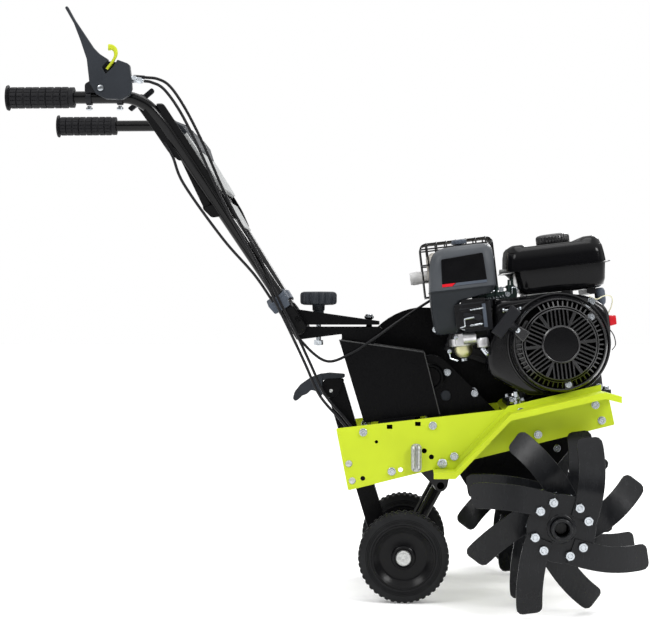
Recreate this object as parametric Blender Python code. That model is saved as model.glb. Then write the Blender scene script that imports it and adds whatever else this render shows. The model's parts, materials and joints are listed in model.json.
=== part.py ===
"""Front tine tiller: frame, folding wheels, petrol engine, belt and chain drive, tines and handlebar.

Metres, +Z up, +X to the front (tines and engine), -Y the machine's right-hand side, origin on the
ground under the middle of the machine. Every outline is in the X-Z plane unless its function says otherwise.
"""

import math

import bmesh
import bpy
from mathutils import Matrix, Vector

# ---------------------------------------------------------------- driving dimensions
GAP = 0.0004                      # clearance between pieces that rest on each other
RUNNING = 0.0005                  # clearance round a shaft that turns

CRANK = Vector((0.4594, 0.0, 0.501))        # engine crankshaft axis
DRIVEN = Vector((0.210, 0.0, 0.432))        # driven pulley and chain case input shaft
TINE = Vector((0.439, 0.0, 0.172))          # tine shaft
MIDDLE_CHAIN = Vector((0.340, 0.0, 0.262))  # intermediate sprockets in the chain case
AXLE = Vector((0.155, 0.0, 0.0890))         # wheel axle
CARRIAGE_PIVOT = Vector((0.228, 0.0, 0.222))
SWIVEL = Vector((0.085, 0.0, 0.540))        # handlebar side swing, a vertical bolt
CLAMP = Vector((-0.0186, 0.0, 0.540))       # clamp knob bolt, vertical
PITCH = math.radians(6.63)        # nose-up tilt of the frame top and the engine

PLATE_OUT = 0.130                 # outer face of each side plate
PLATE = 0.004                     # side plate thickness
SHEET = 0.003                     # thinner sheet metal
FRAME_REAR_TOP = Vector((0.0225, 0.0, 0.3344))

TUBE_R = 0.012                    # handlebar tube
GRIP_R = 0.0205
GRIP_LENGTH = 0.130
GRIP_Y = 0.230
GRIP_Z = 0.976
GRIP_END = -0.607

WHEEL_R = 0.0887
WHEEL_Y = 0.165
AXLE_R = 0.008

ROTOR_R = 0.0625
ROTOR_Y = (0.205, 0.290, 0.375)   # planes of the tine discs, each side
BLADE = 0.005                     # blade thickness
BLADE_WIDTH = 0.048
BLADE_BEND = 0.046                # how far a tip is bent towards the machine
HUB_R = 0.020

BELT_Y = 0.155                    # middle plane of the belt drive
CASE_HALF = 0.035                 # half width of the chain case


# ---------------------------------------------------------------- scene and materials
for thing in list(bpy.data.objects):
    bpy.data.objects.remove(thing, do_unlink=True)


def material(name, colour, roughness, metallic=0.0):
    made = bpy.data.materials.new(name)
    made.use_nodes = True
    shader = made.node_tree.nodes["Principled BSDF"]
    shader.inputs["Base Color"].default_value = (*colour, 1.0)
    shader.inputs["Roughness"].default_value = roughness
    shader.inputs["Metallic"].default_value = metallic
    made.diffuse_color = (*colour, 1.0)
    return made


LIME = material("lime_paint", (0.60, 0.72, 0.02), 0.35)
BLACK_PAINT = material("black_paint", (0.012, 0.012, 0.014), 0.35)
BLACK_PLASTIC = material("black_plastic", (0.022, 0.023, 0.026), 0.55)
GREY_PLASTIC = material("grey_plastic", (0.05, 0.055, 0.065), 0.5)
LIME_PLASTIC = material("lime_plastic", (0.60, 0.72, 0.02), 0.4)
RED_PLASTIC = material("red_plastic", (0.65, 0.02, 0.03), 0.4)
YELLOW_PLASTIC = material("yellow_plastic", (0.75, 0.50, 0.05), 0.4)
RUBBER = material("rubber", (0.015, 0.015, 0.015), 0.75)
STEEL = material("steel", (0.55, 0.55, 0.56), 0.3, 1.0)
ALUMINIUM = material("aluminium", (0.62, 0.62, 0.63), 0.45, 1.0)


# ---------------------------------------------------------------- outlines
def arc(centre, radius, start, end, steps):
    """Points on a circle arc, angles in degrees."""
    points = []
    for i in range(steps + 1):
        angle = math.radians(start + (end - start) * i / steps)
        points.append((centre[0] + radius * math.cos(angle), centre[1] + radius * math.sin(angle)))
    return points


def circle(centre, radius, steps=20):
    return arc(centre, radius, 0.0, 360.0 * (steps - 1) / steps, steps - 1)


def flat(point):
    """The X-Z pair of a point."""
    return (point[0], point[2])


def hull(points):
    """Convex outline round the points."""
    ordered = sorted(set(points))

    def half(sequence):
        chain = []
        for p in sequence:
            while len(chain) > 1 and cross(chain[-2], chain[-1], p) <= 1e-12:
                chain.pop()
            chain.append(p)
        return chain[:-1]

    return half(ordered) + half(ordered[::-1])


def cross(a, b, c):
    return (b[0] - a[0]) * (c[1] - a[1]) - (b[1] - a[1]) * (c[0] - a[0])


def offset(outline, distance):
    """The outline moved outwards by a distance (inwards when negative), corners mitred."""
    area = sum(cross((0, 0), a, b) for a, b in zip(outline, outline[1:] + outline[:1]))
    side = distance if area > 0 else -distance
    moved = []
    for before, here, after in zip(outline[-1:] + outline[:-1], outline, outline[1:] + outline[:1]):
        first = (Vector(here) - Vector(before)).normalized()
        second = (Vector(after) - Vector(here)).normalized()
        normal = Vector((first.y + second.y, -first.x - second.x)).normalized()
        stretch = side / max(0.3, normal.dot(Vector((first.y, -first.x))))
        moved.append((here[0] + normal.x * stretch, here[1] + normal.y * stretch))
    return moved


def rounded(corners, radius, steps=3):
    """The outline with each corner cut back and rounded by a quadratic curve."""
    points = []
    for before, here, after in zip(corners[-1:] + corners[:-1], corners, corners[1:] + corners[:1]):
        here, back, ahead = Vector(here), Vector(before) - Vector(here), Vector(after) - Vector(here)
        reach = min(radius, 0.45 * back.length, 0.45 * ahead.length)
        a = here + back.normalized() * reach
        b = here + ahead.normalized() * reach
        for i in range(steps + 1):
            t = i / steps
            p = a * (1 - t) ** 2 + here * 2 * t * (1 - t) + b * t ** 2
            points.append((p.x, p.y))
    return points


def ribbon(points, width):
    """The outline of a strip of sheet that follows an open line, the line on its upper side."""
    lower = []
    for i, here in enumerate(points):
        before = Vector(points[max(i - 1, 0)])
        after = Vector(points[min(i + 1, len(points) - 1)])
        along = (after - before).normalized()
        lower.append((here[0] + along.y * width, here[1] - along.x * width))
    return list(points) + lower[::-1]


# ---------------------------------------------------------------- solids
PLACE_ACROSS = {
    "X": lambda a, b, t: (t, a, b),
    "Y": lambda a, b, t: (a, t, b),
    "Z": lambda a, b, t: (a, b, t),
}


def prism(outline, low, high, holes=(), axis="Y"):
    """A slab of the outline between two planes across the axis, with holes right through it."""
    place = PLACE_ACROSS[axis]
    bm = bmesh.new()
    edges = []
    for loop in (outline, *holes):
        verts = [bm.verts.new(place(a, b, low)) for a, b in loop]
        edges += [bm.edges.new(pair) for pair in zip(verts, verts[1:] + verts[:1])]
    if holes:
        bmesh.ops.triangle_fill(bm, edges=edges, use_beauty=True)
    else:
        bm.faces.new(verts)
    swept = bmesh.ops.extrude_face_region(bm, geom=bm.faces[:])
    verts = [item for item in swept["geom"] if isinstance(item, bmesh.types.BMVert)]
    bmesh.ops.translate(bm, verts=verts, vec=place(0.0, 0.0, high - low))
    bmesh.ops.recalc_face_normals(bm, faces=bm.faces)
    return bm


def pan(outline, rim, face, wall):
    """A dish of sheet: closed at the plane `face`, open at the plane `rim`."""
    inner = offset(outline, -wall)
    floor = face + math.copysign(wall, rim - face)
    bm = bmesh.new()
    rings = []
    for loop, y in ((outline, face), (outline, rim), (inner, rim), (inner, floor)):
        rings.append([bm.verts.new((a, y, b)) for a, b in loop])
    for one, two in zip(rings, rings[1:]):
        bridge(bm, one, two)
    bm.faces.new(rings[0])
    bm.faces.new(rings[-1])
    bmesh.ops.recalc_face_normals(bm, faces=bm.faces)
    return bm


def bridge(bm, one, two):
    """Faces between two rings, where a ring of one vertex is a point."""
    count = max(len(one), len(two))
    for i in range(count):
        j = (i + 1) % count
        if len(one) == 1:
            bm.faces.new((one[0], two[i], two[j]))
        elif len(two) == 1:
            bm.faces.new((one[i], two[0], one[j]))
        else:
            bm.faces.new((one[i], two[i], two[j], one[j]))


def turned(profile, centre, axis=(0, 1, 0), steps=24, ring=False):
    """The (radius, along) profile turned round an axis, closing on itself or running from 0 to 0."""
    axis = Vector(axis).normalized()
    side = axis.orthogonal().normalized()
    up = axis.cross(side)
    bm = bmesh.new()
    rings = []
    for radius, along in profile:
        middle = Vector(centre) + axis * along
        if radius == 0.0:
            rings.append([bm.verts.new(middle)])
            continue
        angles = [2 * math.pi * i / steps for i in range(steps)]
        rings.append([bm.verts.new(middle + (side * math.cos(a) + up * math.sin(a)) * radius)
                      for a in angles])
    for one, two in zip(rings, rings[1:]):
        bridge(bm, one, two)
    if ring:
        bridge(bm, rings[-1], rings[0])
    bmesh.ops.recalc_face_normals(bm, faces=bm.faces)
    return bm


def rod(centre, radius, low, high, axis=(0, 1, 0), steps=16):
    """A plain round bar between two places along the axis."""
    return turned([(0.0, low), (radius, low), (radius, high), (0.0, high)], centre, axis, steps)


def rounded_box(sections, steps=3):
    """A moulding with rounded upright corners: sections of (z, x0, x1, y0, y1, corner radius)."""
    bm = bmesh.new()
    rings = []
    for z, x0, x1, y0, y1, corner in sections:
        loop = rounded([(x0, y0), (x1, y0), (x1, y1), (x0, y1)], corner, steps)
        rings.append([bm.verts.new((x, y, z)) for x, y in loop])
    for one, two in zip(rings, rings[1:]):
        bridge(bm, one, two)
    bm.faces.new(rings[0])
    bm.faces.new(rings[-1])
    bmesh.ops.recalc_face_normals(bm, faces=bm.faces)
    return bm


def merged(*solids):
    """Several bmeshes in one, without joining their bodies."""
    bm = bmesh.new()
    for solid in solids:
        mesh = bpy.data.meshes.new("part")
        solid.to_mesh(mesh)
        bm.from_mesh(mesh)
        solid.free()
    return bm


# ---------------------------------------------------------------- objects
def add(name, bm, look, origin=(0, 0, 0), sharp=32.0):
    """The object of a bmesh built in world places, with its origin on its joint's axis."""
    mesh = bpy.data.meshes.new(name)
    bm.to_mesh(mesh)
    bm.free()
    mesh.transform(Matrix.Translation(-Vector(origin)))
    mesh.shade_smooth()
    mesh.set_sharp_from_angle(angle=math.radians(sharp))
    mesh.materials.append(look)
    made = bpy.data.objects.new(name, mesh)
    made.location = origin
    bpy.context.scene.collection.objects.link(made)
    return made


def combine(target, bm, operation):
    """A Boolean on the target with a hidden operand."""
    tool = add(f"tool_{target.name}_{len(target.modifiers)}", bm, STEEL)
    tool.hide_render = True
    tool.display_type = "WIRE"
    modifier = target.modifiers.new(operation.lower(), "BOOLEAN")
    modifier.operation = operation
    modifier.object = tool
    return target


def cut(target, bm):
    return combine(target, bm, "DIFFERENCE")


def join(target, bm):
    return combine(target, bm, "UNION")


def smooth_route(points, spacing):
    """Evenly spaced points on a Catmull-Rom curve through the route's own points."""
    route = [Vector(p) for p in points]
    ends = [route[0] * 2 - route[1]] + route + [route[-1] * 2 - route[-2]]
    fine = []
    for a, b, c, d in zip(ends, ends[1:], ends[2:], ends[3:]):
        for i in range(16):
            t = i / 16
            fine.append(0.5 * (2 * b + (c - a) * t + (2 * a - 5 * b + 4 * c - d) * t ** 2
                               + (3 * b - a - 3 * c + d) * t ** 3))
    fine.append(route[-1])
    kept = [fine[0]]
    travelled = 0.0
    for before, here in zip(fine, fine[1:]):
        travelled += (here - before).length
        if travelled >= spacing:
            kept.append(here)
            travelled = 0.0
    if (kept[-1] - fine[-1]).length < 0.5 * spacing:
        kept.pop()
    return kept + [fine[-1]]


def round_tube(name, points, radius, look, resolution=2):
    """A round bar or cable along points."""
    curve = bpy.data.curves.new(name, "CURVE")
    curve.dimensions = "3D"
    curve.bevel_depth = radius
    curve.bevel_resolution = resolution
    curve.use_fill_caps = True
    curve.render_resolution_u = 0
    spline = curve.splines.new("POLY")
    spline.points.add(len(points) - 1)
    for slot, point in zip(spline.points, points):
        slot.co = (*point, 1.0)
    curve.materials.append(look)
    made = bpy.data.objects.new(name, curve)
    bpy.context.scene.collection.objects.link(made)
    return made


SIDES = (("right", -1.0), ("left", 1.0))


# ---------------------------------------------------------------- frame
def frame_top(x):
    """Height of the frame's top edge at x."""
    return FRAME_REAR_TOP.z + (x - FRAME_REAR_TOP.x) * math.tan(PITCH)


def sheet_across(x0, x1, half, rise=0.0):
    """A sheet between the side plates, parallel to their top edges."""
    high = [(x0, frame_top(x0) + rise), (x1, frame_top(x1) + rise)]
    return prism(high + [(x, z - PLATE) for x, z in reversed(high)], -half, half)


def side_plates():
    front_top = (0.5561, frame_top(0.5561))
    outline = [flat(FRAME_REAR_TOP), (0.0461, 0.2124), (0.5671, 0.3437), front_top]
    for name, side in SIDES:
        inner = side * (PLATE_OUT - PLATE)
        add(f"side_plate_{name}", prism(outline, inner, side * PLATE_OUT), LIME)


def carriage_hanger():
    """The pivot bar of the wheel carriage, welded into an ear inside each side plate."""
    ear = [(0.175, 0.262), (0.195, 0.215), (0.221, 0.2035), (0.240, 0.2055), (0.248, 0.220), (0.255, 0.275)]
    outer = PLATE_OUT - PLATE - GAP
    hanger = add("carriage_hanger", rod(CARRIAGE_PIVOT, AXLE_R, 0.002 - outer, outer - 0.002, steps=14),
                 BLACK_PAINT)
    for _, side in SIDES:
        join(hanger, prism(ear, side * outer, side * (outer - PLATE)))


def tine_guards():
    line = [(0.213, 0.2557), (0.2547, 0.2557), (0.360, 0.3677), (0.5406, 0.410), (0.5715, 0.402)]
    lip = [(x, z - 0.0127) for x, z in reversed(line)]
    for name, side in SIDES:
        inner = side * (PLATE_OUT + GAP)
        outer = side * (PLATE_OUT + 0.072)
        guard = add(f"tine_guard_{name}", prism(ribbon(line, SHEET), inner, outer), LIME)
        upper = [(x, z - 0.0002) for x, z in line]
        join(guard, prism(upper + lip, outer - side * SHEET, outer + side * 0.0005))
        bolt_flange = [(x, z + 0.0005) for x, z in line[1:4]] + [(x, z + 0.014) for x, z in line[3:0:-1]]
        join(guard, prism([(x, z - 0.002) for x, z in bolt_flange], inner, inner + side * SHEET))


def handle_support():
    corners = [(0.0257, 0.5077), (0.076, frame_top(0.076) + GAP), (0.2278, frame_top(0.2278) + GAP),
               (0.1968, 0.4836)]
    half = 0.058
    box = add("handle_support", prism(corners, -half, half), BLACK_PAINT)
    hollow = [(-0.1, 0.5077 + 0.0177 - SHEET), (-0.1, 0.30), (0.30, 0.30), (0.30, 0.4691 - SHEET)]
    cut(box, prism(hollow, SHEET - half, half - SHEET))
    cut(box, rod(DRIVEN, 0.018, 0.04, 0.07))
    foot = PLATE_OUT - PLATE - GAP
    join(box, sheet_across(0.105, 0.178, foot, 0.002))


def drive_case():
    """Two half shells of sheet steel round the chains, and the bracket under the engine deck."""
    outline = hull(circle(flat(DRIVEN), 0.045, 28) + circle(flat(MIDDLE_CHAIN), 0.075, 28)
                   + circle(flat(TINE), 0.068, 28))
    shaft_r = 0.0125 + RUNNING
    for name, side in SIDES:
        case = add(f"chain_case_{name}", pan(outline, side * GAP / 2, side * CASE_HALF, SHEET), BLACK_PAINT)
        cut(case, rod(TINE, shaft_r, side * 0.02 - 0.02, side * 0.02 + 0.02, steps=24))
    cut(case, rod(DRIVEN, shaft_r, 0.02, 0.05, steps=24))
    bracket_outline = [(0.352, frame_top(0.352) - PLATE - 2 * GAP),
                       (0.505, frame_top(0.505) - PLATE - 2 * GAP), (0.488, 0.285), (0.455, 0.245),
                       (0.372, 0.285)]
    inner = CASE_HALF + GAP
    bracket = add("case_bracket", prism(bracket_outline, -inner - PLATE, inner + PLATE), BLACK_PAINT)
    ceiling = [(x, z - PLATE) for x, z in bracket_outline[:2]]
    cut(bracket, prism([(0.30, ceiling[0][1] - 0.006), (0.56, ceiling[1][1] + 0.0064), (0.56, 0.2),
                        (0.30, 0.2)],
                       -inner, inner))


# ---------------------------------------------------------------- belt drive
def belt_drive():
    big_r, small_r = 0.104, 0.036
    groove = 0.0075
    guard = guard_outline()
    back_y = PLATE_OUT + 0.0045
    back = add("belt_guard_back", prism(guard, back_y, back_y + 0.002), BLACK_PAINT)
    cut(back, rod(DRIVEN, 0.020, 0.12, 0.15))
    cut(back, rod(CRANK, 0.026, 0.12, 0.15))
    pivot = (0.392, 0.0, 0.492)
    add("belt_guard_cover", pan(guard, back_y + 0.002 + GAP, 0.184, 0.002), BLACK_PAINT)

    outer = hull(circle(flat(DRIVEN), big_r + 0.004, 40) + circle(flat(CRANK), small_r + 0.004, 24))
    inner = hull(circle(flat(DRIVEN), big_r - 0.004, 40) + circle(flat(CRANK), small_r - 0.004, 24))
    add("drive_belt", prism(outer, BELT_Y - 0.005, BELT_Y + 0.005, [inner]), RUBBER)

    def sheave(radius, hub):
        """Profile of a grooved pulley with its hub, from one side to the other."""
        bottom = radius - 0.0065
        rim = radius + 0.0065
        return [(rim, BELT_Y - groove - 0.002), (rim, BELT_Y - groove), (bottom, BELT_Y - 0.0055),
                (bottom, BELT_Y + 0.0055), (rim, BELT_Y + groove), (rim, BELT_Y + groove + 0.002),
                (hub, BELT_Y + groove + 0.002)]

    shaft = 0.0125
    add("driven_pulley", turned([(0.0, -0.028), (shaft, -0.028), (shaft, -0.008), (0.018, -0.008),
                                 (0.018, 0.004), (shaft, 0.004), (shaft, BELT_Y - 0.0095)]
                                + sheave(big_r, 0.020) + [(0.0, BELT_Y + 0.012)], DRIVEN, steps=36), STEEL,
        DRIVEN)
    fly = [(0.0, -0.116), (0.030, -0.116), (0.068, -0.112), (0.068, -0.078), (0.030, -0.070),
           (shaft, -0.060)]
    add("crankshaft", turned(fly + [(shaft, BELT_Y - 0.0095)] + sheave(small_r, 0.014)
                             + [(0.0, BELT_Y + 0.012)], CRANK, steps=28), STEEL, CRANK)

    idler = Vector((0.352, 0.0, 0.442))
    arm_y = back_y + 0.003
    strip = hull(circle(flat(pivot), 0.010, 12) + circle(flat(idler), 0.009, 12))
    arm = add("idler_arm", prism(strip, arm_y, arm_y + SHEET), STEEL, pivot)
    join(arm, turned([(0.0, arm_y + 0.001), (0.007, arm_y + 0.001), (0.007, BELT_Y - 0.009),
                      (0.020, BELT_Y - 0.009), (0.020, BELT_Y + 0.009), (0.0, BELT_Y + 0.009)], idler,
                     steps=20))


def guard_outline():
    """Side view of the belt guard: round over both pulleys, cut straight above the tine guard."""
    rear = arc((0.205, 0.426), 0.150, 200, 97, 16)
    front = arc(flat(CRANK), 0.068, 85, -60, 10)
    return rear + front + [(0.372, 0.385), (0.262, 0.300), (0.120, 0.300)]


# ---------------------------------------------------------------- tines
def blade(side, angle, plane):
    """One tine: a strip that leaves the disc at a slant and bends sideways towards the machine."""
    start = Vector((0.042, -0.008))
    end = Vector((0.133, 0.104))
    chord = end - start
    turn = math.radians(18.0)
    heading = math.atan2(chord.y, chord.x)
    radius = chord.length / (2 * math.sin(turn / 2))
    stations = 9
    bm = bmesh.new()
    rings = []
    for i in range(stations):
        t = i / (stations - 1)
        tangent = heading - turn / 2 + turn * t
        middle = Vector((start.x + radius * (math.sin(tangent) - math.sin(heading - turn / 2)),
                         start.y - radius * (math.cos(tangent) - math.cos(heading - turn / 2))))
        across = Vector((-math.sin(tangent), math.cos(tangent)))
        half = BLADE_WIDTH / 2 * (1.0 if i < stations - 1 else 0.72)
        sag = BLADE_BEND * max(0.0, (t - 0.35) / 0.65) ** 1.7
        slope = 1.7 * BLADE_BEND / 0.65 * max(0.0, (t - 0.35) / 0.65) ** 0.7 / chord.length
        tilt = math.atan(slope)
        ring = []
        for edge, layer in ((-1, -1), (1, -1), (1, 1), (-1, 1)):
            flat_point = middle + across * half * edge
            flat_point += Vector((math.cos(tangent), math.sin(tangent))) * math.sin(tilt) * layer * BLADE / 2
            depth = plane - side * sag + side * math.cos(tilt) * layer * BLADE / 2
            x = flat_point.x * math.cos(angle) - flat_point.y * math.sin(angle)
            z = flat_point.x * math.sin(angle) + flat_point.y * math.cos(angle)
            ring.append(bm.verts.new((TINE.x + x, depth, TINE.z + z)))
        rings.append(ring)
    for one, two in zip(rings, rings[1:]):
        bridge(bm, one, two)
    bm.faces.new(rings[0])
    bm.faces.new(rings[-1])
    bmesh.ops.recalc_face_normals(bm, faces=bm.faces)
    return bm


def tines():
    blades = 4
    first_pair = math.radians(33.5)
    for name, side in SIDES:
        for place, y, twist in zip(("inner", "middle", "outer"), ROTOR_Y, (0.0, 45.0, 0.0)):
            disc = prism(circle(flat(TINE), ROTOR_R, 28), side * (y - 0.0025), side * (y + 0.0025),
                         [circle(flat(TINE), HUB_R + GAP, 20)])
            rotor = add(f"tine_rotor_{place}_{name}", disc, BLACK_PAINT, TINE)
            angles = [first_pair + math.radians(twist) + 2 * math.pi * i / blades for i in range(blades)]
            join(rotor, merged(*[blade(side, a, side * (y + 0.003)) for a in angles]))
    shaft = 0.0125
    tube_start, tube_end = 0.060, 0.398
    right = [(0.0, -tube_end + 0.030), (0.013, -tube_end + 0.030), (0.013, -tube_end), (HUB_R, -tube_end),
             (HUB_R, -tube_start), (shaft, -tube_start)]
    left = [(r, -a) for r, a in reversed(right)]
    middle = [(shaft, -0.004), (0.052, -0.004), (0.052, 0.004), (shaft, 0.004)]
    add("tine_shaft", turned(right + middle + left, TINE, steps=20), STEEL, TINE)


# ---------------------------------------------------------------- wheels
def wheel_carriage():
    strut_y = 0.060
    sleeve = turned([(AXLE_R + RUNNING, -0.075), (0.014, -0.075), (0.014, 0.075), (AXLE_R + RUNNING, 0.075)],
                    CARRIAGE_PIVOT, ring=True, steps=20)
    carriage = add("wheel_carriage", sleeve, BLACK_PAINT, CARRIAGE_PIVOT)
    slope = (AXLE - CARRIAGE_PIVOT).normalized()
    length = (AXLE - CARRIAGE_PIVOT).length
    for side in (-1, 1):
        middle = CARRIAGE_PIVOT + Vector((0, side * strut_y, 0))
        join(carriage, rod(middle, 0.0115, 0.0105, length + 0.004, slope, 14))
    join(carriage, turned([(0.0, -0.196), (AXLE_R, -0.196), (AXLE_R, -0.132), (0.013, -0.132),
                           (0.013, -0.030), (AXLE_R, -0.030), (AXLE_R, 0.030), (0.013, 0.030),
                           (0.013, 0.132), (AXLE_R, 0.132), (AXLE_R, 0.196), (0.0, 0.196)], AXLE, steps=16))
    post = [(-0.006, 0.420), (0.0335, 0.420), (0.1250, 0.115), (0.1745, 0.108), (0.1745, 0.072),
            (0.140, 0.068), (0.0855, 0.115)]
    bore = circle(flat(AXLE), AXLE_R + GAP, 16)
    add("wheel_post", prism(post, -0.019, 0.019, [bore]), BLACK_PAINT, CARRIAGE_PIVOT)

    pin = Vector((0.008, 0.0, 0.404))
    lever = [(0.034, 0.4335), (0.020, 0.438), (-0.010, 0.437), (-0.038, 0.426), (-0.058, 0.409),
             (-0.068, 0.386), (-0.058, 0.383), (-0.046, 0.397), (-0.030, 0.407), (-0.016, 0.398),
             (0.0, 0.391), (0.016, 0.391), (0.024, 0.400)]
    hand = add("wheel_latch_lever", prism(rounded(lever, 0.004, 2), -0.0245, 0.0245), BLACK_PLASTIC, pin)
    cut(hand, prism([(-0.0135, 0.37), (-0.0135, 0.4225), (0.010, 0.4275), (0.060, 0.4275), (0.060, 0.37)],
                    -0.0197, 0.0197))


def wheels():
    tread = [(0.0625, -0.019), (0.078, -0.0235), (0.0865, -0.018), (WHEEL_R, -0.009), (WHEEL_R, 0.009),
             (0.0865, 0.018), (0.078, 0.0235), (0.0625, 0.019)]
    for name, side in SIDES:
        centre = AXLE + Vector((0, side * WHEEL_Y, 0))
        rim = [(AXLE_R + RUNNING, -0.022), (0.021, -0.022), (0.024, -0.010), (0.052, -0.013),
               (0.055, -0.0185), (0.062, -0.0185), (0.062, 0.0185), (0.055, 0.0185), (0.052, 0.013),
               (0.024, 0.010), (0.021, 0.022), (AXLE_R + RUNNING, 0.022)]
        add(f"wheel_rim_{name}", turned(rim, centre, ring=True, steps=24), BLACK_PLASTIC, centre)
        add(f"tyre_{name}", turned(tread, centre, ring=True, steps=32), RUBBER, centre)


# ---------------------------------------------------------------- handlebar
BAR_KNEE = Vector((-0.335, 0.226, 0.9605))
BAR_TOP = Vector((-0.3106, 0.215, 0.932))
BAR_FOOT = Vector((-0.0613, 0.048, 0.5445))


def handlebar():
    for name, side in SIDES:
        flip = Vector((1, side, 1))
        points = [Vector((GRIP_END + 0.004, GRIP_Y, GRIP_Z)), Vector((-0.371, GRIP_Y, GRIP_Z)),
                  Vector((-0.352, 0.2295, 0.972)), BAR_KNEE, BAR_TOP, BAR_FOOT]
        round_tube(f"handlebar_{name}", [p * flip for p in points], TUBE_R, BLACK_PAINT, 3)
        bore = TUBE_R + GAP
        grip = [(bore, 0.0), (GRIP_R, 0.0), (GRIP_R, GRIP_LENGTH - 0.006), (0.025, GRIP_LENGTH - 0.004),
                (0.025, GRIP_LENGTH), (bore, GRIP_LENGTH)]
        start = (GRIP_END, side * GRIP_Y, GRIP_Z)
        add(f"grip_{name}", turned(grip, start, (1, 0, 0), 20, ring=True), RUBBER)

    def between(share, side, inset):
        """A place beside a tube, measured along its straight part and inwards from its middle."""
        place = BAR_TOP.lerp(BAR_FOOT, share)
        return Vector((place.x, side * (place.y - inset), place.z))

    top, bottom, inset = 0.03, 0.36, TUBE_R + 0.001
    corners = [between(top, -1, inset), between(top, 1, inset), between(bottom, 1, inset),
               between(bottom, -1, inset)]
    normal = (corners[1] - corners[0]).cross(corners[3] - corners[0]).normalized() * SHEET / 2
    bm = bmesh.new()
    rings = [[bm.verts.new(c + normal * way) for c in corners] for way in (-1, 1)]
    bridge(bm, *rings)
    for ring in rings:
        bm.faces.new(ring)
    bmesh.ops.recalc_face_normals(bm, faces=bm.faces)
    add("handlebar_panel", bm, BLACK_PAINT)


def swivel():
    base_half = 0.0300
    base = [(-0.0777, 0.5318), (-0.0615, 0.5076), (0.030, 0.5194), (0.030, 0.5084), (0.095, 0.4990),
            (0.112, 0.5305), (0.108, 0.5345), (-0.070, 0.5345)]
    plate = add("swivel_base", prism(base, -base_half, base_half), BLACK_PAINT)
    reach = (SWIVEL - CLAMP).length
    spread = 13.8
    middle = (SWIVEL.x, SWIVEL.y)
    slot = (arc(middle, reach + 0.0062, 180 - spread, 180 + spread, 6)
            + arc(middle, reach - 0.0062, 180 + spread, 180 - spread, 6))
    cut(plate, prism(slot, 0.495, 0.545, axis="Z"))

    bracket = [(-0.086, 0.5735), (0.106, 0.546), (0.106, 0.5385), (-0.078, 0.5385)]
    upper = add("swivel_bracket", prism(bracket, -0.0335, 0.0335), BLACK_PAINT, SWIVEL)
    cut(upper, rod(CLAMP, 0.0058, -0.02, 0.06, (0, 0, 1)))
    cut(upper, rod(SWIVEL, 0.0064, -0.02, 0.03, (0, 0, 1)))
    join(plate, turned([(0.0, -0.015), (0.006, -0.015), (0.006, 0.0106), (0.0095, 0.0106), (0.0095, 0.017),
                        (0.0, 0.017)], SWIVEL, (0, 0, 1), 14))

    top = CLAMP.z
    knob = [(0.0, 0.4965 - top), (0.010, 0.4965 - top), (0.010, 0.5070 - top), (0.005, 0.5070 - top),
            (0.005, 0.5668 - top), (0.0135, 0.5668 - top), (0.0135, 0.5785 - top), (0.036, 0.5785 - top),
            (0.038, 0.5815 - top), (0.038, 0.6025 - top), (0.034, 0.606 - top), (0.0, 0.606 - top)]
    add("clamp_knob", turned(knob, CLAMP, (0, 0, 1), 22), BLACK_PLASTIC, CLAMP)


def clutch_controls():
    pin = Vector((-0.4202, -0.255, 0.9895))
    clamp = [(TUBE_R + GAP, -0.457), (0.0165, -0.457), (0.0165, -0.374), (TUBE_R + GAP, -0.374)]
    bracket = add("lever_bracket", turned(clamp, (0, -GRIP_Y, GRIP_Z), (1, 0, 0), 20, ring=True),
                  BLACK_PLASTIC)
    join(bracket, prism([(-0.452, 0.962), (-0.378, 0.962), (-0.378, 0.994), (-0.400, 1.004), (-0.440, 1.004),
                         (-0.452, 0.996)], -0.2472, -0.2430))
    join(bracket, rod(pin, 0.0035, -0.0095, 0.009, steps=12))
    lever = [(-0.4897, 1.1440), (-0.4850, 1.1470), (-0.4700, 1.1200), (-0.4343, 1.0667), (-0.4222, 1.0546),
             (-0.4054, 1.0438), (-0.4185, 1.0300), (-0.4110, 1.0165), (-0.3960, 1.0310), (-0.3887, 1.0438),
             (-0.3692, 1.0365), (-0.3649, 1.0329), (-0.3619, 1.0088), (-0.3607, 0.9882), (-0.3657, 0.9750),
             (-0.3800, 0.9678), (-0.4103, 0.9689), (-0.4296, 0.9786), (-0.4423, 0.9992), (-0.4475, 1.0450),
             (-0.4597, 1.0811), (-0.4720, 1.1130)]
    hole = circle(flat(pin), 0.0035 + GAP, 12)
    add("clutch_lever", prism(lever, -0.262, -0.248, [hole]), GREY_PLASTIC, pin)
    hook = [(-0.4098, 1.0268), (-0.3990, 1.0400), (-0.3932, 1.0510), (-0.3935, 1.0620), (-0.4040, 1.0700),
            (-0.4110, 1.0665)]
    catch_pin = (-0.4102, -0.255, 1.0275)
    add("safety_catch", prism(ribbon(hook, 0.0038), -0.2585, -0.2515), LIME_PLASTIC, catch_pin)
    pivot = Vector((-0.352, -0.199, 0.984))
    stick = hull(circle((-0.3745, 0.9655), 0.0035, 8) + circle((-0.335, 1.0020), 0.0035, 8))
    add("throttle_lever", prism(stick, -0.204, -0.198), BLACK_PLASTIC, pivot)


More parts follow.
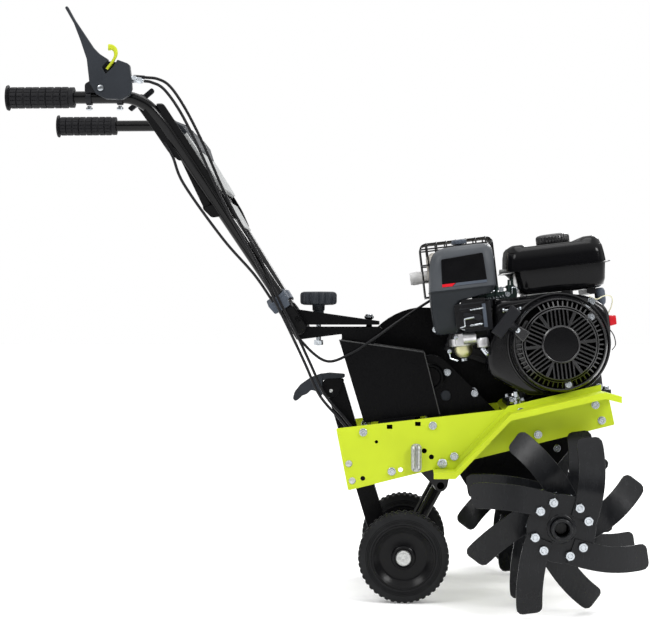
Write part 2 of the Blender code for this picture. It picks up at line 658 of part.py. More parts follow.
CABLE_SPACING = 0.016
CLUTCH_CABLE = [
    (-0.3487, -0.246, 1.0037), (-0.3250, -0.244, 1.0020), (-0.3030, -0.238, 0.9900),
    (-0.2743, -0.226, 0.9500), (-0.2427, -0.205, 0.8862), (-0.2137, -0.186, 0.8188),
    (-0.1880, -0.166, 0.7620), (-0.1420, -0.130, 0.6750), (-0.0982, -0.100, 0.5820),
    (-0.0722, -0.094, 0.5280), (-0.0427, -0.082, 0.4634), (-0.0130, -0.066, 0.3965),
    (0.0272, -0.070, 0.3498), (0.0560, -0.076, 0.3150), (0.0900, -0.080, 0.2850),
]
REVERSE_CABLE = [
    (-0.3400, -0.236, 1.0130), (-0.3150, -0.233, 1.0100), (-0.2920, -0.227, 0.9960),
    (-0.2640, -0.214, 0.9540), (-0.2320, -0.192, 0.8880), (-0.2040, -0.172, 0.8200),
    (-0.1790, -0.151, 0.7640), (-0.1300, -0.113, 0.6720), (-0.0900, -0.092, 0.5820),
    (-0.0620, -0.086, 0.5280), (-0.0330, -0.074, 0.4640), (-0.0030, -0.056, 0.3980),
    (0.0360, -0.062, 0.3520), (0.0620, -0.068, 0.3200), (0.0940, -0.072, 0.2930),
]
THROTTLE_CABLE = [
    (-0.3560, -0.208, 0.9600), (-0.3380, -0.208, 0.9350), (-0.2939, -0.206, 0.8708),
    (-0.2708, -0.192, 0.8121), (-0.1991, -0.150, 0.7076), (-0.1402, -0.112, 0.6376),
    (-0.1015, -0.080, 0.5780), (-0.0518, -0.070, 0.5079), (-0.0003, -0.078, 0.4661),
    (0.0489, -0.074, 0.4802), (0.0927, -0.066, 0.5081), (0.1385, -0.048, 0.5400),
    (0.1884, -0.022, 0.5740), (0.2350, -0.014, 0.6010), (0.2900, -0.014, 0.6180),
    (0.3400, -0.022, 0.6200),
]


def cables():
    for name, route in (("clutch_cable", CLUTCH_CABLE), ("reverse_cable", REVERSE_CABLE),
                        ("throttle_cable", THROTTLE_CABLE)):
        round_tube(name, smooth_route(route, CABLE_SPACING), 0.0027, BLACK_PLASTIC)


# ---------------------------------------------------------------- engine
ENGINE = Matrix.Translation(CRANK) @ Matrix.Rotation(-PITCH, 4, "Y")
DECK_BELOW = 0.1145               # engine foot below the crankshaft


def engine_add(name, bm, look, origin=(0, 0, 0)):
    """An engine piece drawn upright about the crankshaft, tilted and moved into place."""
    bm.transform(ENGINE)
    return add(name, bm, look, ENGINE @ Vector(origin))


def engine_block():
    sections = [(-DECK_BELOW + GAP, -0.110, 0.100, -0.052, 0.105, 0.006),
                (-DECK_BELOW + 0.010, -0.110, 0.100, -0.052, 0.105, 0.006),
                (-DECK_BELOW + 0.012, -0.085, 0.086, -0.050, 0.100, 0.015),
                (0.040, -0.085, 0.086, -0.050, 0.100, 0.015), (0.078, -0.070, 0.060, -0.045, 0.095, 0.015)]
    block = engine_add("crankcase", rounded_box(sections), ALUMINIUM)
    cut(block, rod(CRANK, 0.0125 + RUNNING, -0.08, 0.13, steps=24))
    head = rounded_box([(-0.046, -0.052, 0.052, -0.050, 0.050, 0.010),
                        (0.046, -0.052, 0.052, -0.050, 0.050, 0.010)])
    head.transform(Matrix.Translation((-0.153, 0.030, 0.030)) @ Matrix.Rotation(math.radians(25), 4, "Y"))
    engine_add("cylinder_head", head, ALUMINIUM)


def engine_covers():
    shroud = [(-0.144, -0.033), (-0.142, 0.030), (-0.100, 0.093), (-0.060, 0.099), (0.020, 0.099),
              (0.070, 0.088), (0.106, 0.060), (0.106, 0.012), (0.096, -0.040), (0.060, -0.080),
              (0.0, -0.0975), (-0.050, -0.090)]
    cover = engine_add("fan_shroud", pan(rounded(shroud, 0.02, 3), -0.056, -0.122, 0.0025), BLACK_PAINT)
    cut(cover, rod(CRANK, 0.076, -0.14, -0.10, steps=32))
    dome = [(0.0, -0.172), (0.032, -0.172), (0.036, -0.168), (0.064, -0.166), (0.084, -0.154),
            (0.0943, -0.132), (0.0943, -0.1224), (0.0905, -0.1224), (0.0900, -0.131), (0.081, -0.150),
            (0.062, -0.162), (0.0, -0.164)]
    engine_add("recoil_cover", turned(dome, (0, 0, 0), steps=36), BLACK_PLASTIC)

    tank = [(0.1090, -0.070, 0.105, -0.110, 0.060, 0.03), (0.1180, -0.080, 0.117, -0.122, 0.074, 0.03),
            (0.1500, -0.083, 0.122, -0.126, 0.078, 0.03), (0.1502, -0.088, 0.127, -0.131, 0.083, 0.032),
            (0.1526, -0.088, 0.127, -0.131, 0.083, 0.032), (0.1528, -0.083, 0.122, -0.126, 0.078, 0.03),
            (0.1860, -0.080, 0.116, -0.122, 0.074, 0.03), (0.1950, -0.070, 0.104, -0.112, 0.064, 0.028),
            (0.1975, -0.050, 0.085, -0.095, 0.045, 0.025)]
    engine_add("fuel_tank", rounded_box(tank, 4), BLACK_PAINT)
    cap = [(0.0, 0.1979), (0.031, 0.1979), (0.0335, 0.2000), (0.0335, 0.2140), (0.029, 0.2190),
           (0.0, 0.2195)]
    engine_add("fuel_cap", turned(cap, (0.0207, -0.030, 0.0), (0, 0, 1), 24), BLACK_PLASTIC,
               (0.0207, -0.030, 0.2))

    body = [(0.044, -0.236, -0.162, -0.130, -0.040, 0.012), (0.062, -0.239, -0.150, -0.138, -0.038, 0.012),
            (0.110, -0.240, -0.130, -0.148, -0.034, 0.014), (0.1290, -0.240, -0.110, -0.152, -0.032, 0.016)]
    engine_add("air_cleaner_body", rounded_box(body), BLACK_PLASTIC)
    cover = [(0.1294, -0.240, -0.108, -0.153, -0.031, 0.018), (0.1960, -0.229, -0.107, -0.150, -0.034, 0.02),
             (0.2090, -0.218, -0.110, -0.143, -0.040, 0.02), (0.2150, -0.200, -0.122, -0.128, -0.055, 0.02)]
    engine_add("air_cleaner_cover", rounded_box(cover, 4), BLACK_PLASTIC)

    carb = turned([(0.0, -0.006), (0.012, -0.006), (0.020, 0.002), (0.021, 0.016), (0.026, 0.018),
                   (0.026, 0.034), (0.017, 0.036), (0.017, 0.0436), (0.0, 0.0436)], (-0.185, -0.085, 0.0),
                  (0, 0, 1), 20)
    engine_add("carburettor", carb, ALUMINIUM)
    choke_pin = (-0.150, -0.150, 0.070)
    choke = hull(circle((-0.150, 0.070), 0.006, 10) + circle((-0.176, 0.078), 0.004, 8))
    engine_add("choke_lever", prism(choke, -0.1545, -0.1515), BLACK_PLASTIC, choke_pin)


def exhaust():
    box = rounded_box([(0.125, -0.225, -0.105, 0.020, 0.115, 0.02),
                       (0.132, -0.235, -0.100, 0.012, 0.122, 0.02),
                       (0.205, -0.235, -0.100, 0.012, 0.122, 0.02),
                       (0.212, -0.225, -0.105, 0.020, 0.115, 0.02)])
    muffler = engine_add("muffler", box, STEEL)
    outlet = rod((-0.220, 0.070, 0.165), 0.0125, 0.0, 0.052, (-1, 0, 0), 16)
    outlet.transform(ENGINE)
    join(muffler, outlet)
    cage = [(0.120, -0.254, -0.090, 0.004, 0.132, 0.012), (0.222, -0.250, -0.092, 0.006, 0.130, 0.012),
            (0.2345, -0.238, -0.100, 0.014, 0.122, 0.012)]
    guard = engine_add("muffler_guard", rounded_box(cage), BLACK_PAINT)
    wall = 0.0025
    inside = [(0.10, *shrunk(cage[0], wall)), (cage[0][0], *shrunk(cage[0], wall)),
              (cage[1][0], *shrunk(cage[1], wall)), (cage[2][0] - wall, *shrunk(cage[2], wall))]
    hollow = rounded_box(inside)
    hollow.transform(ENGINE)
    cut(guard, hollow)
    hole = rod((-0.220, 0.070, 0.165), 0.016, 0.020, 0.060, (-1, 0, 0), 16)
    hole.transform(ENGINE)
    cut(guard, hole)


def shrunk(section, wall):
    z, x0, x1, y0, y1, corner = section
    return x0 + wall, x1 - wall, y0 + wall, y1 - wall, corner


def engine_fittings():
    switch = rounded_box([(0.0, -0.011, 0.011, -0.009, 0.009, 0.003),
                          (0.014, -0.009, 0.009, -0.007, 0.007, 0.003)], 2)
    switch.transform(Matrix.Translation((0.1066, -0.088, 0.034)) @ Matrix.Rotation(math.radians(90), 4, "Y"))
    engine_add("stop_switch", switch, RED_PLASTIC, (0.1066, -0.088, 0.034))
    plug = turned([(0.0, 0.0), (0.010, 0.0), (0.010, 0.012), (0.0135, 0.014), (0.0135, 0.026),
                   (0.009, 0.032), (0.0, 0.032)], (-0.0886, -0.036, -0.052), (-1, 0, 0.25), 14)
    engine_add("oil_plug", plug, YELLOW_PLASTIC, (-0.0886, -0.036, -0.052))
    # the pull grip is a T: its bar runs up to the front, its stem points down to the starter housing
    pull = Vector((-0.72, 0.0, 0.694)).normalized()
    bar = Vector((0.694, 0.0, 0.72)).normalized()
    centre = Vector((-0.1010, -0.188, 0.0555))
    grip = turned([(0.0, -0.031), (0.010, -0.031), (0.0125, -0.026), (0.0125, 0.026), (0.010, 0.031),
                   (0.0, 0.031)],
                  centre, bar, 12)
    starter = engine_add("recoil_grip", grip, BLACK_PLASTIC, centre)
    stem = turned([(0.0, 0.005), (0.008, 0.005), (0.0055, 0.026), (0.0, 0.026)], centre, -pull, 10)
    stem.transform(ENGINE)
    join(starter, stem)


def main():
    side_plates()
    tine_guards()
    add("engine_deck", sheet_across(0.352, 0.553, PLATE_OUT - PLATE - GAP), LIME)
    carriage_hanger()
    handle_support()
    drive_case()
    belt_drive()
    tines()
    wheel_carriage()
    wheels()
    handlebar()
    swivel()
    clutch_controls()
    cables()
    engine_block()
    engine_covers()
    exhaust()
    engine_fittings()


main()
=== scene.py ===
"""Looks of the front tine tiller: every visible surface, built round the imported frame, in metres.

+X is the front (tines and engine), -Y the machine's right-hand side, +Z up. Engine pieces are drawn upright
about the crankshaft and then tilted into place with the engine.
"""

import json
import math

import bmesh
import bpy
from mathutils import Matrix, Vector


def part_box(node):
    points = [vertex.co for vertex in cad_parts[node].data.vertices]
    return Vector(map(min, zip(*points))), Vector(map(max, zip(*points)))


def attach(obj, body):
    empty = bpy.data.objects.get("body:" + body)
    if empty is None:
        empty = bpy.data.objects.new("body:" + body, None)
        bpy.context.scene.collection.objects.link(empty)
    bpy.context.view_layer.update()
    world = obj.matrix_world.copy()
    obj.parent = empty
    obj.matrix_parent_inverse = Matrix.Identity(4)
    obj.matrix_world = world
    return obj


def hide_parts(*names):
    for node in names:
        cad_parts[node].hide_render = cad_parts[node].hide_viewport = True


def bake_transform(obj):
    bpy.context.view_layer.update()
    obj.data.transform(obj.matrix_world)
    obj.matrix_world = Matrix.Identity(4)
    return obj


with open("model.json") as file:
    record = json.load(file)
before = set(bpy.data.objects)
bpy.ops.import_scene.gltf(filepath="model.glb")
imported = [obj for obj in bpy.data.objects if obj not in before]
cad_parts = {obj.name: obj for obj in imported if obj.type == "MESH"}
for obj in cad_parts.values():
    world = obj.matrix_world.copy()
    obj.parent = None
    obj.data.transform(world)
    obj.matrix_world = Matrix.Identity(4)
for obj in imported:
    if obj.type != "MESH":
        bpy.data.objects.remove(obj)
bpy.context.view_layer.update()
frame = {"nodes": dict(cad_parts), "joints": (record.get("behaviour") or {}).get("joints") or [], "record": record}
RECORD = frame["record"]
BODY_OF = {node: body for body, nodes in RECORD["behaviour"]["bodies"].items() for node in nodes}
JOINTS = {joint["name"]: joint for joint in frame["joints"]}
SIDES = (("right", -1.0), ("left", 1.0))


def pivot(joint):
    return Vector(JOINTS[joint]["pos_m"])


CRANK = pivot("crankshaft_spin")
DRIVEN = pivot("driven_pulley_spin")
TINE = pivot("tine_spin")
CLAMP = pivot("clamp_knob_turn")
SWIVEL = pivot("handlebar_swing")
ENGINE_UP = Vector(JOINTS["fuel_cap_turn"]["axis"])
PITCH = math.atan2(-ENGINE_UP.x, ENGINE_UP.z)
ENGINE = Matrix.Translation(CRANK) @ Matrix.Rotation(-PITCH, 4, "Y")
FACE = abs(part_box("side_plate_right")[0].y)       # outer face of a side plate


# ---------------------------------------------------------------- camera, light and floor
CAMERA_PLACE = (0.1485, -3.3, 0.552)
CAMERA_YAW = math.radians(2.67)
CAMERA_PITCH = math.radians(0.18)
CAMERA_LENS = 89.2          # mm on a 36 mm sensor
FLOOR_RADIUS = 30.0


def studio():
    """Camera, four lamps, a white surround with soft boxes at both sides, and the floor."""
    camera = bpy.data.objects.new("camera", bpy.data.cameras.new("camera"))
    bpy.context.scene.collection.objects.link(camera)
    camera.location = CAMERA_PLACE
    sight = Vector((-math.sin(CAMERA_YAW), math.cos(CAMERA_YAW), math.tan(CAMERA_PITCH)))
    camera.rotation_euler = sight.to_track_quat("-Z", "Y").to_euler()
    camera.data.lens = CAMERA_LENS
    camera.data.sensor_width = 36.0
    camera.data.clip_end = 60.0
    bpy.context.scene.camera = camera

    target = Vector((0.1, 0.0, 0.5))
    lamps = (
        ("key_light", (-1.6, -2.0, 2.4), 1.1, 25.0),
        ("fill_light", (2.2, -2.1, 2.1), 0.9, 46.0),
        ("top_light", (0.3, 0.0, 3.0), 1.2, 14.0),
        ("rim_light", (1.3, 2.2, 1.9), 0.9, 28.0),
    )
    for name, place, size, power in lamps:
        data = bpy.data.lights.new(name, "AREA")
        data.shape = "DISK"
        data.size = size
        data.energy = power
        lamp = bpy.data.objects.new(name, data)
        lamp.location = place
        lamp.rotation_euler = (target - Vector(place)).to_track_quat("-Z", "Y").to_euler()
        bpy.context.scene.collection.objects.link(lamp)

    world = bpy.data.worlds.new("studio")
    world.use_nodes = True
    tree = world.node_tree
    direction = tree.nodes.new("ShaderNodeTexCoord")
    height = tree.nodes.new("ShaderNodeSeparateXYZ")

    def rise(start, end, low, high):
        """A smooth rise of the strength from low to high between two directions."""
        made = tree.nodes.new("ShaderNodeMapRange")
        made.interpolation_type = "SMOOTHSTEP"
        for key, value in (("From Min", start), ("From Max", end), ("To Min", low), ("To Max", high)):
            made.inputs[key].default_value = value
        return made

    diffuser = rise(0.12, 0.8, 0.1, 1.45)
    sides = tree.nodes.new("ShaderNodeMath")
    sides.operation = "ABSOLUTE"
    softboxes = rise(0.78, 0.92, 0.0, 1.25)
    dome = tree.nodes.new("ShaderNodeMath")
    dome.operation = "MAXIMUM"
    backdrop = tree.nodes.new("ShaderNodeLightPath")
    strength = tree.nodes.new("ShaderNodeMath")
    strength.operation = "MAXIMUM"
    tree.links.new(direction.outputs["Generated"], height.inputs[0])
    tree.links.new(height.outputs["Z"], diffuser.inputs["Value"])
    tree.links.new(height.outputs["X"], sides.inputs[0])
    tree.links.new(sides.outputs[0], softboxes.inputs["Value"])
    tree.links.new(diffuser.outputs["Result"], dome.inputs[0])
    tree.links.new(softboxes.outputs["Result"], dome.inputs[1])
    tree.links.new(dome.outputs[0], strength.inputs[0])
    tree.links.new(backdrop.outputs["Is Camera Ray"], strength.inputs[1])
    tree.links.new(strength.outputs[0], tree.nodes["Background"].inputs["Strength"])
    tree.nodes["Background"].inputs["Color"].default_value = (1.0, 1.0, 1.0, 1.0)
    bpy.context.scene.world = world
    bpy.context.scene.view_settings.view_transform = "Standard"

    mesh = bpy.data.meshes.new("floor")
    shape = bmesh.new()
    bmesh.ops.create_circle(shape, cap_ends=True, radius=FLOOR_RADIUS, segments=64)
    shape.to_mesh(mesh)
    shape.free()
    mesh.materials.append(paper())
    floor = bpy.data.objects.new("floor", mesh)
    bpy.context.scene.collection.objects.link(floor)


# ---------------------------------------------------------------- materials
class Look:
    """A Principled material under construction, patterned in the row's own metres."""

    def __init__(self, name, roughness, metallic=0.0, coat=0.0, coat_roughness=0.1, specular=0.5):
        self.material = bpy.data.materials.new(name)
        self.material.use_nodes = True
        self.tree = self.material.node_tree
        self.shader = self.tree.nodes["Principled BSDF"]
        self.shader.inputs["Roughness"].default_value = roughness
        self.shader.inputs["Metallic"].default_value = metallic
        self.shader.inputs["Coat Weight"].default_value = coat
        self.shader.inputs["Coat Roughness"].default_value = coat_roughness
        self.shader.inputs["Specular IOR Level"].default_value = specular
        self.place = self.tree.nodes.new("ShaderNodeTexCoord").outputs["Object"]

    def node(self, kind, inputs=(), **settings):
        made = self.tree.nodes.new(kind)
        for key, value in settings.items():
            setattr(made, key, value)
        for key, value in dict(inputs).items():
            if isinstance(value, bpy.types.NodeSocket):
                self.tree.links.new(value, made.inputs[key])
            else:
                made.inputs[key].default_value = value
        return made

    def noise(self, scale, detail=3.0, roughness=0.5, stretch=None):
        place = self.place
        if stretch:
            place = self.node("ShaderNodeMapping", {"Vector": place, "Scale": stretch}).outputs["Vector"]
        inputs = {"Vector": place, "Scale": scale, "Detail": detail, "Roughness": roughness}
        return self.node("ShaderNodeTexNoise", inputs).outputs["Fac"]

    def cells(self, scale, output="Distance"):
        inputs = {"Vector": self.place, "Scale": scale}
        return self.node("ShaderNodeTexVoronoi", inputs).outputs[output]

    def spread(self, value, low, high, start=0.3, end=0.7):
        """The value's range from start to end, stretched to low and high."""
        inputs = {"Value": value, "From Min": start, "From Max": end, "To Min": low, "To Max": high}
        return self.node("ShaderNodeMapRange", inputs).outputs["Result"]

    def times(self, a, b, operation="MULTIPLY"):
        return self.node("ShaderNodeMath", {0: a, 1: b}, operation=operation, use_clamp=True).outputs[0]

    def mix(self, share, first, second):
        made = self.node("ShaderNodeMix", {0: share}, data_type="RGBA")
        for key, value in ((6, first), (7, second)):
            if isinstance(value, bpy.types.NodeSocket):
                self.tree.links.new(value, made.inputs[key])
            else:
                made.inputs[key].default_value = (*value, 1.0)
        return made.outputs[2]

    def edges(self, radius, strength):
        """Near 1 on the outer edges of a form, where finish wears thin, and 0 on its faces."""
        soft = self.node("ShaderNodeBevel", {"Radius": radius}, samples=4).outputs["Normal"]
        sharp = self.node("ShaderNodeNewGeometry").outputs["Normal"]
        facing = self.node("ShaderNodeVectorMath", {0: soft, 1: sharp},
                           operation="DOT_PRODUCT").outputs["Value"]
        return self.spread(facing, strength, 0.0, 0.72, 0.97)

    def link(self, value, socket):
        self.tree.links.new(value, self.shader.inputs[socket])

    def bump(self, height, strength, distance):
        inputs = {"Height": height, "Strength": strength, "Distance": distance}
        self.link(self.node("ShaderNodeBump", inputs).outputs["Normal"], "Normal")


def tint(colour, factor):
    return tuple(min(1.0, channel * factor) for channel in colour)


def paint(name, colour, roughness, peel=0.25, coat=0.0, wear=0.5, bare=(0.35, 0.35, 0.36), specular=0.07):
    """Powder coat: faint orange peel, a slow change of shade, and edges worn thin."""
    look = Look(name, roughness, coat=coat, coat_roughness=0.16, specular=specular)
    shade = look.mix(look.spread(look.noise(9.0), 0.0, 1.0), tint(colour, 0.93), tint(colour, 1.05))
    if wear:
        scratch = look.spread(look.noise(160.0, 4.0, 0.7), 0.0, 1.0, 0.52, 0.68)
        shade = look.mix(look.times(look.edges(0.0012, wear), scratch), shade, bare)
    look.link(shade, "Base Color")
    look.link(look.spread(look.noise(60.0, 4.0), roughness * 0.85, roughness * 1.2), "Roughness")
    if peel:
        look.bump(look.noise(700.0, 2.0), peel, 0.0004)
    return look.material


def plastic(name, colour, roughness, grain=0.35, scale=1500.0, specular=0.16):
    """Moulded plastic with a spark-eroded grain, a little paler along every outer edge."""
    look = Look(name, roughness, specular=specular)
    shade = look.mix(look.spread(look.noise(14.0, 4.0), 0.0, 1.0), tint(colour, 0.88), tint(colour, 1.12))
    look.link(look.mix(look.edges(0.0015, 0.25), shade, tint(colour, 1.7)), "Base Color")
    look.link(look.spread(look.noise(35.0, 4.0), roughness * 0.85, roughness * 1.18), "Roughness")
    look.bump(look.cells(scale), grain, 0.0002)
    return look.material


def rubber(name, colour, roughness, scale=900.0):
    """Rubber with a pale bloom of dust in a slow pattern over a fine pitted skin."""
    look = Look(name, roughness, specular=0.12)
    bloom = look.spread(look.noise(22.0, 6.0, 0.65), 0.0, 0.55, 0.45, 0.75)
    look.link(look.mix(bloom, colour, tint(colour, 1.9)), "Base Color")
    look.link(look.spread(look.noise(80.0, 5.0), roughness * 0.85, min(1.0, roughness * 1.15)), "Roughness")
    look.bump(look.noise(scale, 4.0, 0.7), 0.45, 0.0004)
    return look.material


def zinc(name="zinc_plate", colour=(0.46, 0.49, 0.52), roughness=0.2):
    """Bright zinc plate with small shifts of tone and fine turning marks."""
    look = Look(name, roughness, metallic=1.0)
    mottle = look.spread(look.cells(260.0, "Color"), 0.0, 1.0, 0.1, 0.9)
    look.link(look.mix(mottle, tint(colour, 0.8), tint(colour, 1.12)), "Base Color")
    look.link(look.spread(look.noise(340.0, 5.0, 0.7), roughness * 0.7, roughness * 1.5), "Roughness")
    look.bump(look.noise(1200.0, 3.0), 0.18, 0.0002)
    return look.material


def casting(name, colour, roughness, metallic=1.0, scale=420.0, depth=0.5):
    """Sand-grained cast metal, its tone changing slowly at random."""
    look = Look(name, roughness, metallic=metallic, specular=0.2)
    grain = look.noise(scale, 6.0, 0.7)
    look.link(look.mix(look.spread(look.noise(30.0, 5.0), 0.0, 1.0), tint(colour, 0.7), tint(colour, 1.1)),
              "Base Color")
    look.link(look.spread(grain, roughness * 0.8, roughness * 1.3), "Roughness")
    look.bump(grain, depth, 0.0006)
    return look.material


def heated_sheet():
    """Exhaust sheet: pale steel with straw and blue heat tints and a little soot."""
    look = Look("heat_stained_sheet", 0.38, metallic=1.0)
    straw = look.mix(look.spread(look.noise(18.0, 4.0), 0.0, 1.0), (0.6, 0.58, 0.54), (0.5, 0.42, 0.3))
    look.link(look.mix(look.spread(look.noise(42.0, 6.0), 0.0, 0.6, 0.5, 0.75), straw, (0.2, 0.21, 0.25)),
              "Base Color")
    look.link(look.spread(look.noise(120.0, 5.0), 0.28, 0.55), "Roughness")
    look.bump(look.noise(500.0, 4.0), 0.2, 0.0003)
    return look.material


def forged(name, colour, roughness):
    """Hot-rolled steel under thin black lacquer, with drawn-out streaks that catch the light."""
    look = Look(name, roughness, specular=0.19)
    streak = look.noise(60.0, 5.0, 0.6, stretch=(1.0, 1.0, 0.35))
    shade = look.mix(look.spread(streak, 0.0, 1.0), tint(colour, 0.85), tint(colour, 1.2))
    scratch = look.spread(look.noise(220.0, 4.0, 0.7), 0.0, 1.0, 0.5, 0.66)
    look.link(look.mix(look.times(look.edges(0.0014, 0.6), scratch), shade, (0.2, 0.2, 0.21)), "Base Color")
    look.link(look.spread(streak, roughness * 0.8, roughness * 1.25), "Roughness")
    look.bump(look.noise(420.0, 4.0, 0.6), 0.22, 0.0004)
    return look.material


def paper():
    """Pale studio paper, lit a little from below like a light table."""
    look = Look("floor_paper", 0.95, specular=0.1)
    look.shader.inputs["Emission Color"].default_value = (1.0, 1.0, 1.0, 1.0)
    look.shader.inputs["Emission Strength"].default_value = 0.18
    look.link(look.mix(look.spread(look.noise(3.0), 0.0, 1.0), (0.9, 0.9, 0.9), (0.91, 0.91, 0.91)),
              "Base Color")
    return look.material


def looks():
    """Every material by its short name."""
    black = (0.0027, 0.0027, 0.0031)
    return {
        "lime": paint("lime_powder_coat", (0.455, 0.555, 0.018), 0.34, bare=(0.6, 0.66, 0.25),
                      specular=0.22),
        "black": paint("black_powder_coat", black, 0.28, bare=(0.07, 0.07, 0.07)),
        "tube": paint("black_tube_enamel", black, 0.14, peel=0.06, specular=0.2, wear=0.0,
                      bare=(0.08, 0.08, 0.08)),
        "enamel": paint("engine_gloss_enamel", (0.0035, 0.0035, 0.0042), 0.2, peel=0.08, specular=0.27,
                        bare=(0.05, 0.05, 0.05)),
        "tank": paint("tank_gloss_enamel", (0.003, 0.003, 0.0035), 0.12, peel=0.05, wear=0.0, specular=0.12),
        "blade": forged("tine_lacquer", (0.0062, 0.0066, 0.0076), 0.25),
        "plastic": plastic("black_moulding", (0.0085, 0.009, 0.011), 0.4),
        "housing": plastic("starter_housing_moulding", (0.006, 0.006, 0.0068), 0.22, grain=0.1,
                           specular=0.62),
        "slate": plastic("slate_moulding", (0.0185, 0.0215, 0.0265), 0.46),
        "pale_slate": plastic("cleaner_cover_moulding", (0.05, 0.055, 0.062), 0.42, specular=0.22),
        "dark_slate": plastic("cleaner_body_moulding", (0.012, 0.0145, 0.0175), 0.42),
        "clip": plastic("blue_grey_moulding", (0.06, 0.072, 0.092), 0.45),
        "bright_lime": plastic("lime_moulding", (0.4, 0.45, 0.02), 0.35, grain=0.15),
        "red": plastic("red_moulding", (0.5, 0.008, 0.016), 0.32, grain=0.1),
        "yellow": plastic("yellow_moulding", (0.6, 0.36, 0.02), 0.38, grain=0.2),
        "bowl": casting("chromated_bowl", (0.6, 0.58, 0.34), 0.36, scale=700.0, depth=0.15),
        "wheel": plastic("wheel_moulding", (0.004, 0.004, 0.0045), 0.22, grain=0.08, specular=0.12),
        "tyre": rubber("tyre_rubber", (0.0095, 0.0098, 0.0104), 0.5),
        "grip": rubber("grip_rubber", (0.0085, 0.0085, 0.0098), 0.5, 1400.0),
        "belt": rubber("belt_rubber", (0.016, 0.016, 0.016), 0.7),
        "sheath": plastic("cable_sheath", (0.006, 0.006, 0.007), 0.3, grain=0.2, scale=2500.0),
        "zinc": zinc(),
        "dull_zinc": zinc("dull_zinc", (0.5, 0.51, 0.5), 0.42),
        "pulley": zinc("turned_steel", (0.42, 0.42, 0.43), 0.3),
        "silver": casting("die_cast_alloy", (0.62, 0.62, 0.63), 0.34),
        "pale_steel": casting("blasted_steel", (0.62, 0.62, 0.62), 0.5, metallic=0.0),
        "dark_casting": casting("black_dipped_casting", (0.0055, 0.0055, 0.0062), 0.4, metallic=0.0),
        "exhaust": heated_sheet(),
        "pale": plastic("pale_grey_label", (0.36, 0.37, 0.37), 0.35, grain=0.05),
        "ink": plastic("printed_black_film", (0.002, 0.002, 0.0025), 0.2, grain=0.03),
        "wire": plastic("pale_wire_sheath", (0.62, 0.6, 0.42), 0.4, grain=0.1),
        # Near-black, dull and all but unreflecting: painted shade standing for the dark inside seen through holes
        # and slots.
        "shade_fill": plastic("painted_shade_black", (0.0012, 0.0012, 0.0012), 0.95, grain=0.2, specular=0.03),
        # A lighter grey that paints the highlight along the belt box's edges.
        "edge_highlight_grey": paint("painted_edge_highlight", (0.055, 0.055, 0.056), 0.3, wear=0.0),
        "olive": paint("olive_chromate", (0.018, 0.03, 0.027), 0.35, wear=0.0),
    }


# ---------------------------------------------------------------- outlines and forms
def arc(centre, radius, start, end, steps):
    """Points on a circle arc, angles in degrees."""
    angles = [math.radians(start + (end - start) * i / steps) for i in range(steps + 1)]
    return [(centre[0] + radius * math.cos(a), centre[1] + radius * math.sin(a)) for a in angles]


def circle(centre, radius, steps=28):
    return arc(centre, radius, 0.0, 360.0 * (steps - 1) / steps, steps - 1)


def rounded(corners, radius, steps=4):
    """The outline with each corner rounded off."""
    points = []
    for before, here, after in zip(corners[-1:] + corners[:-1], corners, corners[1:] + corners[:1]):
        here, back, ahead = Vector(here), Vector(before) - Vector(here), Vector(after) - Vector(here)
        reach = min(radius, 0.45 * back.length, 0.45 * ahead.length)
        a = here + back.normalized() * reach
        b = here + ahead.normalized() * reach
        for i in range(steps + 1):
            t = i / steps
            points.append(tuple(a * (1 - t) ** 2 + here * 2 * t * (1 - t) + b * t ** 2))
    return points


def bent(points, radius, steps=6):
    """An open route with its inner corners rounded."""
    points = [Vector(p) for p in points]
    route = [points[0]]
    for before, here, after in zip(points, points[1:], points[2:]):
        back, ahead = before - here, after - here
        reach = min(radius, 0.48 * back.length, 0.48 * ahead.length)
        a, b = here + back.normalized() * reach, here + ahead.normalized() * reach
        for i in range(steps + 1):
            t = i / steps
            route.append(a * (1 - t) ** 2 + here * 2 * t * (1 - t) + b * t ** 2)
    return route + [points[-1]]


def smooth_route(points, steps=8):
    """Points on a Catmull-Rom curve through the route's own points."""
    route = [Vector(p) for p in points]
    ends = [route[0] * 2 - route[1]] + route + [route[-1] * 2 - route[-2]]
    fine = []
    for a, b, c, d in zip(ends, ends[1:], ends[2:], ends[3:]):
        for i in range(steps):
            t = i / steps
            fine.append(0.5 * (2 * b + (c - a) * t + (2 * a - 5 * b + 4 * c - d) * t ** 2
                               + (3 * b - a - 3 * c + d) * t ** 3))
    return fine + [route[-1]]


def hexagon(across):
    """Radius of a hexagon of that width across flats, as a function of the angle."""
    def radius(angle):
        return 0.5 * across / math.cos((angle + math.pi / 6) % (math.pi / 3) - math.pi / 6)
    return radius


